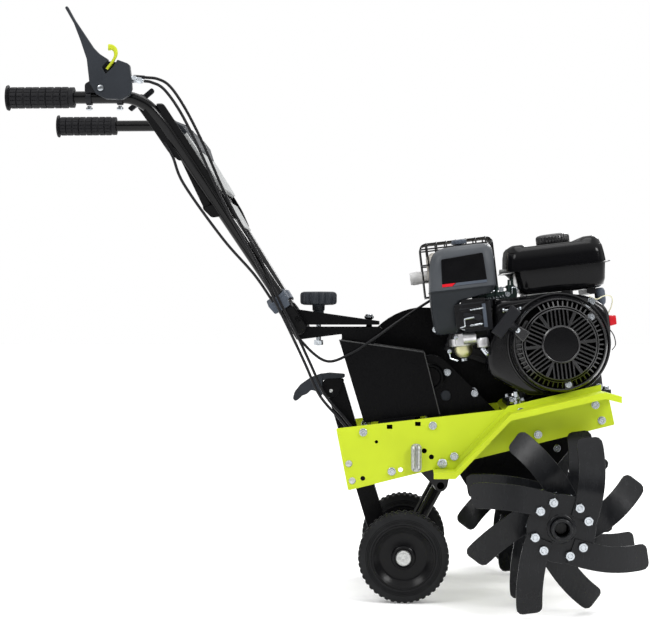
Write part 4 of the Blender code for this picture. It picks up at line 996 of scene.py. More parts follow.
# ---------------------------------------------------------------- wheels
def wheel_carriage():
    """Post, struts and hanger of the transport wheels, and the hand lever that lets them swing."""
    finished("wheel_carriage", "tube", 0.0012, 3)
    finished("wheel_post", "black", 0.0022, 3)
    lever = [(0.036, 0.433), (0.022, 0.4385), (0.004, 0.44), (-0.016, 0.4375), (-0.036, 0.43),
             (-0.054, 0.4175), (-0.0665, 0.402), (-0.07, 0.388), (-0.0655, 0.3825), (-0.0585, 0.386),
             (-0.052, 0.3935), (-0.0455, 0.3955), (-0.0395, 0.3985), (-0.035, 0.4045), (-0.029, 0.405),
             (-0.0235, 0.403), (-0.0185, 0.399), (-0.0135, 0.392), (-0.002, 0.389), (0.012, 0.3895),
             (0.024, 0.396)]
    cheek = [(0.0345, 0.427), (0.021, 0.429), (0.0, 0.4285), (-0.008, 0.424), (-0.0115, 0.408),
             (-0.008, 0.3925), (0.012, 0.3895), (0.024, 0.396)]
    cheeks = Shape()
    for side in (-1.0, 1.0):
        cheeks.prism(rounded(cheek, 0.006, 3), side * 0.0199, side * 0.024)
    piece("latch_cheeks", cheeks, "black", "wheel_latch_lever", (), 0.0012, 3, 40)
    behind = [p for p in lever if p[0] < -0.01] + [(-0.01, 0.396), (-0.01, 0.4385)]
    shell = Shape().prism(rounded(behind, 0.003, 3), -0.0238, 0.0238)
    core = [(0.035, 0.43), (0.035, 0.4375)] + lever[2:15] + [(-0.018, 0.408), (-0.015, 0.4235),
                                                             (0.01, 0.4283)]
    shell.prism(rounded(core, 0.003, 3), -0.0215, 0.0215)
    piece("latch_grip", shell, "slate", "wheel_latch_lever", ["wheel_latch_lever"], 0.0022,
          3, 40)
    rivet = Shape()
    for side in (-1, 1):
        rivet.lathe([(0.0034, 0.0), (0.0034, 0.0008), (0.0024, 0.0014)], (0.008, side * 0.024, 0.404),
                    (0, side, 0), 24)
        rivet.lathe([(0.015, 0.0), (0.015, 0.003), (0.012, 0.0044), (0.006, 0.0048)],
                    (0.228, side * 0.0752, 0.222), (0, side, 0), 32)
    piece("carriage_pins", rivet, "dull_zinc", "wheel_carriage")


def carriage_hanger():
    """The pivot bar of the wheel carriage between its two ears inside the side plates."""
    ear = [(0.176, 0.262), (0.214, 0.222), (0.221, 0.2115), (0.233, 0.2105), (0.241, 0.219), (0.252, 0.275)]
    hanger = Shape().lathe([(0.0078, -0.1236), (0.0078, 0.1236)], pivot("wheel_carriage_swing"), (0, 1, 0),
                           32)
    for _, side in SIDES:
        hanger.prism(rounded(ear, 0.004, 3), side * 0.1196, side * 0.1236)
    piece("hanger_bar", hanger, "tube", "frame", ["carriage_hanger"], 0.0006)


def wheels():
    """Hard tyres with two rows of lugs on dished rims, and their axle caps."""
    axle = Vector((0.155, 0.0, 0.089))
    lugs = 44
    tread = [(0.0628, -0.019), (0.07, -0.0215), (0.079, -0.0222), (0.084, -0.0205), (0.0862, -0.0165),
             (0.0862, 0.0165), (0.084, 0.0205), (0.079, 0.0222), (0.07, 0.0215), (0.0628, 0.019)]
    dish = [(0.009, -0.019), (0.0205, -0.0205), (0.0222, -0.0195), (0.0236, -0.0115), (0.044, -0.009),
            (0.047, -0.0098), (0.0578, -0.0186), (0.0592, -0.0196), (0.0626, -0.0196), (0.0626, 0.0196),
            (0.0592, 0.0196), (0.0578, 0.0186), (0.047, 0.0098), (0.044, 0.009), (0.0236, 0.0115),
            (0.0222, 0.0195), (0.0205, 0.0205), (0.009, 0.019)]
    for name, side in SIDES:
        centre = axle + Vector((0, side * 0.165, 0))
        body = f"wheel_{name}"
        tyre = Shape().lathe(tread, centre, (0, 1, 0), 132, closed=True)
        for i in range(lugs):
            for row in (-1.0, 1.0):
                angle = 2 * math.pi * (i + (0.25 if row > 0 else -0.25)) / lugs
                turn = Matrix.Translation(centre) @ Matrix.Rotation(angle, 4, "Y")
                half = 0.004
                block = Shape().prism([(0.085, -half), (0.0882, -half * 0.82), (0.0882, half * 0.82),
                                       (0.085, half)],
                                      row * 0.003, row * 0.0172)
                shoulder = Shape().prism([(0.0838, -half), (0.0866, -half), (0.0866, half), (0.0838, half)],
                                         row * 0.016, row * 0.0204)
                for form in (block, shoulder):
                    tyre.absorb(form.moved(turn))
        piece(f"tyre_tread_{name}", tyre, "tyre", body, [f"tyre_{name}"], 0.0006, 1, 28)
        rim = Shape().lathe(dish, centre, (0, 1, 0), 96, closed=True)
        for i in range(3):
            rim.lathe([(0.0665 + 0.003 * i, -0.0218), (0.0672 + 0.003 * i, -0.0226),
                       (0.0679 + 0.003 * i, -0.0218)],
                      centre, (0, 1, 0), 96, closed=True)
        piece(f"wheel_disc_{name}", rim, "wheel", body, [f"wheel_rim_{name}"], 0.0008, 3)
        axle_end = abs(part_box("wheel_carriage")[1].y) - abs(centre.y)
        cap = Shape().lathe([(0.0152, 0.0215), (0.0152, axle_end - 0.0035), (0.0146, axle_end - 0.0012),
                             (0.0128, axle_end + 0.0006), (0.004, axle_end + 0.0012),
                             (0.0015, axle_end + 0.0008)],
                            centre, (0, side, 0), 48)
        cap.lathe([(0.0135, -0.001), (0.0135, 0.0012)], centre + Vector((0, side * 0.0205, 0)), (0, side, 0),
                  40)
        piece(f"axle_cap_{name}", cap, "dull_zinc", "wheel_carriage", (), 0.0004)


# ---------------------------------------------------------------- tines
ROTOR_Y = (0.205, 0.29, 0.375)
ROTOR_R = 0.0625
BLADE = 0.005
BLADE_WIDTH = 0.048
BLADE_BEND = 0.046


def blade(shape, side, angle, plane):
    """One tine: a round-cornered strip that leaves the disc at a slant and bends towards the machine."""
    start, end = Vector((0.042, -0.008)), Vector((0.133, 0.104))
    chord = end - start
    turn = math.radians(27.0)
    heading = math.atan2(chord.y, chord.x)
    first = heading - turn / 2
    radius = chord.length / (2 * math.sin(turn / 2))
    stations = 30
    tip = 0.012
    rings = []
    for i in range(stations):
        t = i / (stations - 1)
        if t > 0.9:
            t = 0.9 + 0.1 * math.sin(math.pi / 2 * (t - 0.9) / 0.1)
        tangent = first + turn * t
        middle = start + Vector((math.sin(tangent) - math.sin(first),
                                 math.cos(first) - math.cos(tangent))) * radius
        across = Vector((-math.sin(tangent), math.cos(tangent)))
        left = (1 - t) * chord.length
        narrow = tip - math.sqrt(max(0.0, tip ** 2 - (tip - left) ** 2)) if left < tip else 0.0
        half = BLADE_WIDTH / 2 - narrow
        curl = max(0.0, (t - 0.35) / 0.65)
        sag = BLADE_BEND * curl ** 1.7
        tilt = math.atan(1.7 * BLADE_BEND / 0.65 * curl ** 0.7 / chord.length)
        ring = []
        for edge, layer in ((-1, -1), (1, -1), (1, 1), (-1, 1)):
            spot = middle + across * half * edge
            spot += Vector((math.cos(tangent), math.sin(tangent))) * math.sin(tilt) * layer * BLADE / 2
            depth = plane - side * sag + side * math.cos(tilt) * layer * BLADE / 2
            x = spot.x * math.cos(angle) - spot.y * math.sin(angle)
            z = spot.x * math.sin(angle) + spot.y * math.cos(angle)
            ring.append((TINE.x + x, depth, TINE.z + z))
        rings.append(ring)
    shape.rings(rings)


def tines():
    """Six tine stars with their hexagon bolts, on the hub tubes."""
    bolts = Shape()
    for name, side in SIDES:
        for place, y, twist in zip(("inner", "middle", "outer"), ROTOR_Y, (0.0, 45.0, 0.0)):
            star = Shape().prism(circle((TINE.x, TINE.z), ROTOR_R, 72), side * (y - 0.0025),
                                 side * (y + 0.0025), [circle((TINE.x, TINE.z), 0.0205, 40)])
            collar = [(0.0205, -0.0035), (0.0265, -0.0035), (0.0265, 0.0052), (0.024, 0.0068),
                      (0.0205, 0.0068)]
            star.lathe(collar, (TINE.x, side * y, TINE.z), (0, side, 0), 48, closed=True)
            for i in range(4):
                pair = math.radians(33.5 + twist + 90 * i)
                blade(star, side, pair, side * (y + 0.005))
                for offset in (-16.2, 16.2):
                    angle = pair + math.radians(offset)
                    spot = Vector((TINE.x + 0.05 * math.cos(angle), 0.0, TINE.z + 0.05 * math.sin(angle)))
                    bolts.bolt(spot + Vector((0, side * (y + 0.0074), 0)), (0, side, 0), 0.0158, 0.0066, 0.9)
                    bolts.stud(spot + Vector((0, side * (y - 0.0025), 0)), (0, -side, 0), 0.0165, 0.004)
            piece(f"tine_star_{place}_{name}", star, "blade", "tines",
                  [f"tine_rotor_{place}_{name}"], 0.0011, 2)
    piece("tine_bolts", bolts, "zinc", "tines")
    hub = Shape()
    for _, side in SIDES:
        hub.lathe([(0.013, 0.06), (0.02, 0.06), (0.02, 0.3965), (0.0188, 0.398), (0.0145, 0.398),
                   (0.013, 0.396)], TINE, (0, side, 0), 56, closed=True)
        hub.lathe([(0.0125, 0.0), (0.0125, 0.366), (0.011, 0.368)], TINE, (0, side, 0), 40)
        hub.lathe([(0.016, 0.3975), (0.0176, 0.3984), (0.019, 0.3976)], TINE, (0, side, 0), 56, closed=True)
    hub.lathe([(0.02, -0.004), (0.052, -0.004), (0.052, 0.004), (0.02, 0.004)], TINE, (0, 1, 0), 40)
    piece("tine_hub", hub, "blade", "tines", ["tine_shaft"], 0.0008)


# ---------------------------------------------------------------- engine
def engine_piece(name, shape, look, stands_for=(), bevel=0.0, segments=2, sharp=32.0, body="frame"):
    """A piece drawn upright about the crankshaft, tilted into place with the engine."""
    return piece(name, shape.moved(ENGINE), look, body, stands_for, bevel, segments, sharp)


def engine_block():
    """Crankcase and finned cylinder in black, with the feet, their bolts and the drain fitting."""
    finished("crankcase", "dark_casting", 0.003, 3)
    finished("cylinder_head", "dark_casting", 0.003, 3)
    fins = Shape()
    for i in range(7):
        along = -0.038 + i * 0.0125
        fins.box((-0.056, -0.054, along), (0.056, 0.054, along + 0.0032), 0.012)
    fins.moved(Matrix.Translation((-0.15, 0.03, 0.03)) @ Matrix.Rotation(math.radians(25), 4, "Y"))
    engine_piece("cylinder_fins", fins, "dark_casting", (), 0.0008)
    ribs = Shape()
    for i in range(5):
        x = -0.062 + i * 0.03
        ribs.box((x, -0.056, -0.098), (x + 0.004, -0.049, -0.03))
    engine_piece("crankcase_ribs", ribs, "dark_casting", (), 0.0008)
    bolts = Shape()
    for x, y in ((-0.096, -0.04), (0.09, -0.04), (-0.096, 0.092), (0.09, 0.092)):
        bolts.bolt((x, y, -0.1041), (0, 0, 1), 0.013, 0.006, 1.6)
    foot = Vector((-0.092, -0.094, -0.105))
    bolts.lathe([(0.01, -0.009), (0.01, -0.006), (0.0075, -0.0055), (0.0075, 0.002),
                 (hexagon(0.015), 0.0024), (hexagon(0.015), 0.009), (0.006, 0.01), (0.006, 0.02),
                 (0.005, 0.0215)], foot, (0, 0, 1), 36)
    for way in (-1, 1):
        bolts.lathe([(0.0045, 0.0), (0.0045, 0.008), (hexagon(0.01), 0.0085), (hexagon(0.01), 0.014)],
                    foot, (way, 0, 0.25), 36)
    engine_piece("engine_feet_bolts", bolts, "zinc")
    drain = Shape().sweep(bent([(-0.092, -0.094, -0.1055), (-0.08, -0.07, -0.106), (-0.06, -0.05, -0.1)],
                               0.01),
                          0.0052, 16)
    engine_piece("drain_pipe", drain, "dark_casting")


def fan_shroud():
    """Pressed steel shroud with a soft shoulder, a stepped lip round the starter and its bolts."""
    outline = rounded([(-0.144, -0.044), (-0.143, 0.01), (-0.124, 0.04), (-0.119, 0.099), (0.02, 0.099),
                       (0.07, 0.088), (0.106, 0.06), (0.106, 0.012), (0.096, -0.04), (0.06, -0.08),
                       (0.0, -0.0975), (-0.07, -0.096)], 0.018, 6)
    middle = Vector((-0.015, 0.0))

    def grown(share, y):
        return [(middle.x + (x - middle.x) * share, y, middle.y + (z - middle.y) * share) for x,
                z in outline]

    levels = [(1.0, -0.0565), (1.0, -0.104), (0.992, -0.112), (0.972, -0.118), (0.94, -0.1215),
              (0.9, -0.1222)]
    shell = Shape().rings([grown(share, y) for share, y in levels])
    engine_piece("shroud_shell", shell, "enamel", ["fan_shroud"], sharp=50)
    lip = Shape().lathe([(0.096, 0.1215), (0.096, 0.125), (0.0985, 0.1262), (0.101, 0.1245),
                         (0.102, 0.1215)],
                        (0, 0, 0), (0, -1, 0), 96, closed=True)
    engine_piece("shroud_lip", lip, "enamel")
    fold = Shape().sweep(bent([(-0.117, -0.1195, -0.03), (-0.112, -0.1205, 0.03), (-0.112, -0.1215, 0.082),
                               (-0.06, -0.1225, 0.089), (0.015, -0.1225, 0.0905)], 0.016), 0.002, 10)
    engine_piece("shroud_bead", fold, "enamel")
    bolts = Shape()
    back = ENGINE.inverted()
    for x, z in ((0.5232, 0.5852), (0.5278, 0.5504), (0.4745, 0.4196), (0.5375, 0.4167)):
        spot = back @ Vector((x, 0.0, z))
        bolts.bolt((spot.x, -0.1225, spot.z), (0, -1, 0), 0.0098, 0.0046, 1.5)
    bolts.lathe([(0.0022, 0.0), (0.0022, 0.03)], (-0.101, -0.126, 0.0775), (1, 0, 0), 16)
    for x in (-0.103, -0.07):
        bolts.lathe([(0.003, 0.0), (0.0044, 0.0015), (0.0044, 0.0045), (0.003, 0.006)], (x, -0.126, 0.0775),
                    (1, 0, 0), 18)
    engine_piece("shroud_bolts", bolts, "zinc")


def radial_bar(angle, sections):
    """Corners of a bar that stands out from the crankshaft, given as (reach, offset to the side)."""
    along, across = Vector((math.cos(angle), math.sin(angle))), Vector((-math.sin(angle), math.cos(angle)))
    return [tuple(along * reach + across * offset) for reach, offset in sections]


def recoil_starter():
    """Starter housing: painted shade under groups of bars, a rim of short fins and a plain centre disc."""
    dome = [(0.002, 0.16), (0.066, 0.156), (0.0668, 0.15), (0.085, 0.137), (0.0865, 0.123)]
    # A near-black dome behind the bars: painted shade for the dark inside of the starter.
    well = Shape().lathe(dome, (0, 0, 0), (0, -1, 0), 120)
    engine_piece("starter_well", well, "shade_fill", ["recoil_cover"])
    shell = Shape()
    shell.lathe([(0.033, 0.16), (0.033, 0.1708), (0.0345, 0.1716), (0.0372, 0.17), (0.0372, 0.16)],
                (0, 0, 0), (0, -1, 0), 96, closed=True)
    shell.lathe([(0.0672, 0.157), (0.0672, 0.165), (0.0682, 0.1662), (0.0704, 0.1645), (0.0712, 0.156),
                 (0.07, 0.148)], (0, 0, 0), (0, -1, 0), 120, closed=True)
    shell.lathe([(0.086, 0.1235), (0.0856, 0.144), (0.0868, 0.149), (0.0895, 0.149), (0.0925, 0.143),
                 (0.0943, 0.133), (0.0945, 0.1235)], (0, 0, 0), (0, -1, 0), 120, closed=True)
    shell.lathe([(0.0726, 0.148), (0.0726, 0.1606), (0.0748, 0.1588), (0.0748, 0.148)], (0, 0, 0),
                (0, -1, 0), 120, closed=True)
    groups, bars, half = 6, 6, 0.0017
    for g in range(groups):
        heading = math.radians(90 + 360 * g / groups)
        for b in range(bars):
            shift = (b - (bars - 1) / 2) * 0.0078
            inner = max(math.sqrt(max(0.0, 0.0365 ** 2 - shift ** 2)), abs(shift) * 1.85)
            outer = math.sqrt(0.068 ** 2 - shift ** 2)
            edge, other = shift - half, shift + half
            bar = radial_bar(heading, ((inner, edge), (outer, edge), (outer, other), (inner, other)))
            shell.prism(bar, -0.1668, -0.159)
        spoke = math.radians(90 + 360 * (g + 0.5) / groups)
        rib = radial_bar(spoke, ((0.0355, -0.0026), (0.069, -0.0036), (0.069, 0.0036), (0.0355, 0.0026)))
        shell.prism(rib, -0.1684, -0.159)
    fins = 54
    for i in range(fins):
        angle = 2 * math.pi * i / fins
        if math.radians(118) < angle < math.radians(168):
            continue
        fin = radial_bar(angle, ((0.073, -0.0015), (0.086, -0.0015), (0.086, 0.0015), (0.073, 0.0015)))
        crest = (-0.158, -0.1472, -0.1472, -0.158)
        shell.rings([[(x, -0.13, z) for x, z in fin], [(x, y, z) for (x, z), y in zip(fin, crest)]])
    lugs = [math.radians(turn) for turn in (35.0, 155.0, 275.0)]
    for angle in lugs:
        lug = radial_bar(angle, ((0.068, -0.0065), (0.09, -0.0085), (0.09, 0.0085), (0.068, 0.0065)))
        shell.prism(rounded(lug, 0.003, 3), -0.154, -0.13)
    web = bent([(-0.09, -0.13, 0.012), (-0.086, -0.142, 0.005), (-0.056, -0.146, -0.05)], 0.006)
    shell.sweep(web, 0.0022, 10)
    shell.prism(rounded([(-0.094, 0.01), (-0.06, 0.056), (-0.052, 0.048), (-0.07, 0.018), (-0.072, 0.005),
                         (-0.056, -0.04), (-0.07, -0.044)], 0.006, 3), -0.144, -0.13)
    engine_piece("starter_housing", shell, "housing", (), 0.0005, 1, 40)
    badge = Shape().lathe([(0.0332, 0.164), (0.0332, 0.1692), (0.0322, 0.17), (0.01, 0.1704)], (0, 0, 0),
                          (0, -1, 0), 96)
    engine_piece("starter_disc", badge, "ink")
    screws = Shape()
    for angle in lugs:
        screws.bolt((0.08 * math.cos(angle), -0.1538, 0.08 * math.sin(angle)), (0, -1, 0), 0.0082, 0.0036,
                    1.5)
    engine_piece("starter_screws", screws, "zinc")


def pull_handle():
    """The T grip, its rope eye on the housing and a short straight rope between them."""
    pull = Vector((-0.72, 0.0, 0.694)).normalized()
    bar = Vector((0.694, 0.0, 0.72)).normalized()
    out = Vector((0.0, -1.0, 0.0))
    centre = Vector((-0.101, -0.188, 0.0555))
    place = Matrix.Translation(centre) @ Matrix((bar, out, pull)).transposed().to_4x4()
    grip = Shape().moulding([(-0.0115, -0.031, 0.031, -0.0095, 0.0095, 0.003),
                             (-0.0105, -0.0325, 0.0325, -0.0115, 0.0115, 0.004),
                             (0.01, -0.033, 0.033, -0.012, 0.012, 0.004),
                             (0.0112, -0.032, 0.032, -0.0105, 0.0105, 0.003)])
    grip.lathe([(0.0088, -0.011), (0.0078, -0.018), (0.006, -0.0265)], (0, 0, 0), (0, 0, 1), 28)
    for i in range(4):
        grip.lathe([(0.0084, -0.0135 - 0.0032 * i), (0.0094, -0.0145 - 0.0032 * i),
                    (0.008, -0.0155 - 0.0032 * i)],
                   (0, 0, 0), (0, 0, 1), 28)
    grip.moved(place)
    engine_piece("pull_grip", grip, "plastic", ["recoil_grip"], 0.0012, 3, 40,
                 body="recoil_grip")
    eye_at = centre - pull * 0.031
    eye = Shape().lathe([(0.004, 0.0), (0.0085, 0.0), (0.0095, 0.003), (0.0085, 0.006), (0.004, 0.006)],
                        eye_at, pull, 28, closed=True)
    eye.lathe([(0.0032, -0.01), (0.0032, 0.004)], eye_at, pull, 16)
    boss = Shape().prism([(-0.012, -0.018), (0.012, -0.018), (0.009, 0.006), (-0.009, 0.006)], -0.008, 0.008)
    boss.moved(Matrix.Translation(eye_at) @ Matrix((bar, out, pull)).transposed().to_4x4())
    engine_piece("rope_boss", boss, "housing", (), 0.002, 3)
    engine_piece("rope_eye", eye, "zinc")
    start, end = ENGINE @ (eye_at + pull * 0.0005), ENGINE @ (centre - pull * 0.02)
    rope = Shape().sweep([start.lerp(end, i / 24) for i in range(25)], 0.0021, 10)
    made = piece("starter_rope", rope, "sheath", None)
    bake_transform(made)


def fuel_tank():
    """Two gloss pressings joined at a thin seam flange, with a ribbed cap sunk between two humps."""
    lower = [(0.101, -0.03, 0.088, -0.096, 0.046, 0.03), (0.103, -0.048, 0.098, -0.107, 0.058, 0.032),
             (0.108, -0.06, 0.1045, -0.117, 0.068, 0.03), (0.118, -0.0655, 0.1075, -0.122, 0.073, 0.028),
             (0.1504, -0.068, 0.111, -0.1245, 0.076, 0.026)]
    upper = [(0.1515, -0.0825, 0.1125, -0.126, 0.078, 0.024), (0.172, -0.08, 0.1105, -0.125, 0.077, 0.024),
             (0.185, -0.0785, 0.1085, -0.1235, 0.0755, 0.025),
             (0.188, -0.0775, 0.107, -0.1215, 0.0735, 0.026), (0.1925, -0.074, 0.104, -0.118, 0.07, 0.026),
             (0.1965, -0.07, 0.1, -0.114, 0.066, 0.024), (0.1975, -0.066, 0.096, -0.11, 0.062, 0.022)]
    shell = Shape().moulding(lower, 10).moulding(upper, 10)
    shell.moulding([(0.188, 0.048, 0.1068, -0.1212, 0.0732, 0.024),
                    (0.196, 0.056, 0.1045, -0.115, 0.066, 0.022),
                    (0.2025, 0.065, 0.1, -0.1085, 0.056, 0.018), (0.205, 0.074, 0.094, -0.103, 0.044, 0.01)],
                   10)
    shell.moulding([(0.188, -0.0772, -0.033, -0.1212, 0.0732, 0.02),
                    (0.196, -0.0755, -0.037, -0.115, 0.065, 0.018),
                    (0.201, -0.071, -0.043, -0.11, 0.055, 0.014),
                    (0.2025, -0.067, -0.048, -0.106, 0.046, 0.009)],
                   10)
    engine_piece("tank_shell", shell, "tank", ["fuel_tank"], sharp=60)
    seam = Shape().moulding([(0.15, -0.09, 0.1195, -0.13, 0.083, 0.03),
                             (0.1507, -0.0915, 0.121, -0.1315, 0.0845, 0.031),
                             (0.1517, -0.0915, 0.121, -0.1315, 0.0845, 0.031),
                             (0.1524, -0.09, 0.1195, -0.13, 0.083, 0.03)], 10)
    engine_piece("tank_seam", seam, "tank", sharp=60)
    centre = (0.0207, -0.03, 0.0)
    neck = Shape().lathe([(0.027, 0.189), (0.027, 0.1978)], centre, (0, 0, 1), 48)
    engine_piece("tank_neck", neck, "tank")
    ribs = 30

    def knurl(radius, depth):
        return lambda angle: radius - depth * max(0.0, math.cos(ribs * angle)) ** 3

    cap = Shape().lathe([(0.028, 0.1979), (knurl(0.033, 0.001), 0.1985), (knurl(0.0336, 0.0016), 0.2),
                         (knurl(0.0336, 0.0016), 0.213), (knurl(0.0325, 0.0008), 0.216), (0.03, 0.218),
                         (0.024, 0.2193), (0.0225, 0.2178), (0.004, 0.218)], centre, (0, 0, 1), 240)
    engine_piece("cap_shell", cap, "housing", ["fuel_cap"], 0, 0, 45, body="fuel_cap")
    straps = Shape()
    for x in (-0.04, 0.07):
        straps.box((x, -0.09, 0.09), (x + 0.018, 0.06, 0.1045))
    straps.box((-0.052, -0.108, 0.086), (0.042, 0.055, 0.1045), 0.012)
    straps.box((-0.118, -0.11, 0.06), (-0.045, 0.05, 0.101), 0.008)
    engine_piece("tank_brackets", straps, "enamel", (), 0.001)
    edge = Shape().sweep([(-0.05, -0.1085, 0.1022), (-0.018, -0.109, 0.1022), (0.018, -0.1085, 0.1015)],
                         0.0011, 8)
    edge.sweep([(0.046, -0.1085, 0.0885), (0.072, -0.1085, 0.0915)], 0.0011, 8)
    engine_piece("bracket_edges", edge, "dull_zinc")
    hose = Shape().sweep(smooth_route([(-0.09, 0.01, 0.156), (-0.078, 0.012, 0.154), (-0.068, 0.012, 0.144),
                                       (-0.063, 0.01, 0.13), (-0.062, 0.0, 0.115)]), 0.0058, 20)
    engine_piece("breather_hose", hose, "pale")
    filter_cup = Shape().lathe([(0.006, 0.066), (0.0095, 0.07), (0.0105, 0.076), (0.0105, 0.094),
                                (0.0085, 0.099), (0.006, 0.101)], (0.0985, -0.06, 0.0), (0, 0, 1), 36)
    filter_cup.lathe([(hexagon(0.011), 0.06), (hexagon(0.011), 0.0665)], (0.0985, -0.06, 0.0), (0, 0, 1), 36)
    engine_piece("fuel_strainer", filter_cup, "clip", (), 0.0005)


def air_cleaner():
    """Slate cover with soft corners and a plain printed panel, its body, knob and bolts."""
    body = [(0.044, -0.232, -0.194, -0.127, -0.042, 0.012), (0.0475, -0.237, -0.19, -0.132, -0.039, 0.014),
            (0.062, -0.239, -0.187, -0.138, -0.038, 0.014), (0.101, -0.24, -0.184, -0.146, -0.035, 0.014),
            (0.107, -0.24, -0.178, -0.147, -0.035, 0.016), (0.115, -0.24, -0.12, -0.149, -0.034, 0.018),
            (0.1285, -0.24, -0.11, -0.152, -0.032, 0.02)]
    engine_piece("cleaner_body", Shape().moulding(body, 8), "dark_slate",
                 ["air_cleaner_body"], 0.0025, 3, 40)
    cover = [(0.1294, -0.2395, -0.1085, -0.1525, -0.0315, 0.022),
             (0.1305, -0.24, -0.108, -0.153, -0.031, 0.022), (0.17, -0.235, -0.1072, -0.1518, -0.0325,
                                                              0.024),
             (0.193, -0.23, -0.107, -0.1505, -0.034, 0.026), (0.2035, -0.2245, -0.1085, -0.147, -0.037,
                                                              0.026),
             (0.21, -0.215, -0.112, -0.141, -0.043, 0.024), (0.2135, -0.203, -0.119, -0.131, -0.053, 0.02),
             (0.2148, -0.189, -0.13, -0.118, -0.066, 0.016)]
    engine_piece("cleaner_cover", Shape().moulding(cover, 8), "pale_slate",
                 ["air_cleaner_cover"], sharp=60)
    panel = Shape().prism(rounded([(-0.2145, 0.136), (-0.1262, 0.136), (-0.1285, 0.195), (-0.2105, 0.1905)],
                                  0.003, 3),
                          -0.1536, -0.15)
    engine_piece("cover_panel", panel, "ink", (), 0.0004)
    stripe = Shape().prism([(-0.2142, 0.1365), (-0.195, 0.1365), (-0.188, 0.142), (-0.214, 0.142)], -0.154,
                           -0.1534)
    engine_piece("panel_stripe_red", stripe, "red")
    stripe = Shape().prism([(-0.1935, 0.1365), (-0.1266, 0.1365), (-0.1268, 0.142), (-0.1865, 0.142)],
                           -0.154, -0.1534)
    engine_piece("panel_stripe_grey", stripe, "clip")
    seam = Shape().moulding([(0.1276, -0.2412, -0.1072, -0.1542, -0.0302, 0.022),
                             (0.1292, -0.2412, -0.1072, -0.1542, -0.0302, 0.022)], 8)
    engine_piece("cleaner_seam", seam, "dark_slate", (), 0.0006)
    knob = Shape().lathe([(0.006, 0.214), (0.006, 0.218), (lambda a: 0.015 - 0.0025 * max(0,
                                                                                          math.cos(6 * a)),
                                                           0.219),
                          (lambda a: 0.0155 - 0.0028 * max(0, math.cos(6 * a)), 0.225), (0.012, 0.2275),
                          (0.004, 0.228)], (-0.17, -0.092, 0.0), (0, 0, 1), 96)
    engine_piece("cleaner_knob", knob, "clip", sharp=40)
    bolts = Shape()
    bolts.bolt((-0.18, -0.1345, 0.056), (0, -1, 0), 0.0112, 0.006, 1.4)
    bolts.bolt((-0.2335, -0.118, 0.056), (-0.6, -0.8, 0), 0.0112, 0.006, 1.4)
    engine_piece("cleaner_bolts", bolts, "zinc")
    recess = Shape().prism(rounded([(-0.196, 0.052), (-0.139, 0.048), (-0.134, 0.104), (-0.196, 0.1)],
                                   0.006),
                           -0.15, -0.14)
    recess.prism(rounded([(-0.185, 0.085), (-0.136, 0.085), (-0.134, 0.108), (-0.181, 0.108)], 0.004),
                 -0.1508, -0.14)
    engine_piece("cleaner_recess", recess, "enamel", (), 0.001)


def carburettor():
    """Alloy carburettor with its bowl, drain screw, idle screws, linkage and the choke lever."""
    at = (-0.185, -0.085, 0.0)
    barrel = Shape().lathe([(0.019, 0.016), (0.0215, 0.017), (0.0262, 0.018), (0.0262, 0.033), (0.02, 0.035),
                            (0.017, 0.0436)], at, (0, 0, 1), 48)
    barrel.lathe([(0.013, 0.0), (0.013, 0.026)], (-0.185, -0.12, 0.033), (1, 0, 0.0), 32)
    barrel.box((-0.2, -0.122, 0.02), (-0.168, -0.09, 0.042), 0.004)
    barrel.lathe([(0.01, 0.0), (0.012, 0.004), (0.012, 0.018), (0.009, 0.02)], (-0.147, -0.128, 0.03),
                 (0, 0, -1), 28)
    engine_piece("carburettor_barrel", barrel, "silver", ["carburettor"], 0.0008)
    bowl = Shape().lathe([(0.006, -0.006), (0.011, -0.005), (0.0165, 0.001), (0.0178, 0.007),
                          (0.018, 0.0165)],
                         at, (0, 0, 1), 48)
    engine_piece("carburettor_bowl", bowl, "bowl")
    screws = Shape()
    screws.lathe([(hexagon(0.0105), -0.013), (hexagon(0.0105), -0.008), (0.007, -0.007)], at, (0, 0, 1), 36)
    for x, z in ((-0.198, 0.036), (-0.172, 0.036), (-0.214, 0.01)):
        screws.lathe([(0.0042, 0.0), (0.0042, 0.004), (0.0032, 0.0048)], (x, -0.122, z), (0, -1, 0), 20)
    screws.sweep(bent([(-0.214, -0.118, 0.008), (-0.214, -0.124, -0.004), (-0.2, -0.12, -0.01)], 0.004),
                 0.0018, 10)
    screws.lathe([(0.0052, 0.0), (0.0052, 0.016), (0.0035, 0.018)], (-0.15, -0.128, 0.01), (0.5, 0, -0.8),
                 20)
    engine_piece("carburettor_screws", screws, "zinc")
    finished("choke_lever", "plastic", 0.001)
    inlet = Shape().lathe([(0.021, 0.0), (0.021, 0.03), (0.024, 0.03), (0.024, 0.036)],
                          (-0.166, -0.085, 0.048), (1, 0, 0.1), 32)
    inlet.box((-0.18, -0.137, 0.044), (-0.124, -0.1, 0.1), 0.004)
    for z in (0.054, 0.088, 0.097):
        inlet.box((-0.186, -0.1511, z), (-0.139, -0.148, z + 0.0038), 0.002)
    inlet.box((-0.176, -0.105, 0.086), (-0.11, -0.045, 0.104), 0.004)
    engine_piece("inlet_elbow", inlet, "plastic", (), 0.0012)
    guide = Shape().box((-0.142, -0.156, 0.05), (-0.135, -0.148, 0.096), 0.002)
    engine_piece("inlet_guide", guide, "clip", (), 0.0008)
    rods = Shape().sweep([(-0.166, -0.156, 0.086), (-0.14, -0.156, 0.0875)], 0.0014, 10)
    rods.sweep(bent([(-0.188, -0.149, 0.054), (-0.179, -0.1585, 0.056), (-0.179, -0.1585, 0.07),
                     (-0.16, -0.1585, 0.0715)], 0.003), 0.0018, 10)
    rods.sweep(bent([(-0.17, -0.1585, 0.056), (-0.146, -0.1585, 0.057), (-0.142, -0.148, 0.057)], 0.003),
               0.0018, 10)
    engine_piece("choke_rods", rods, "zinc")


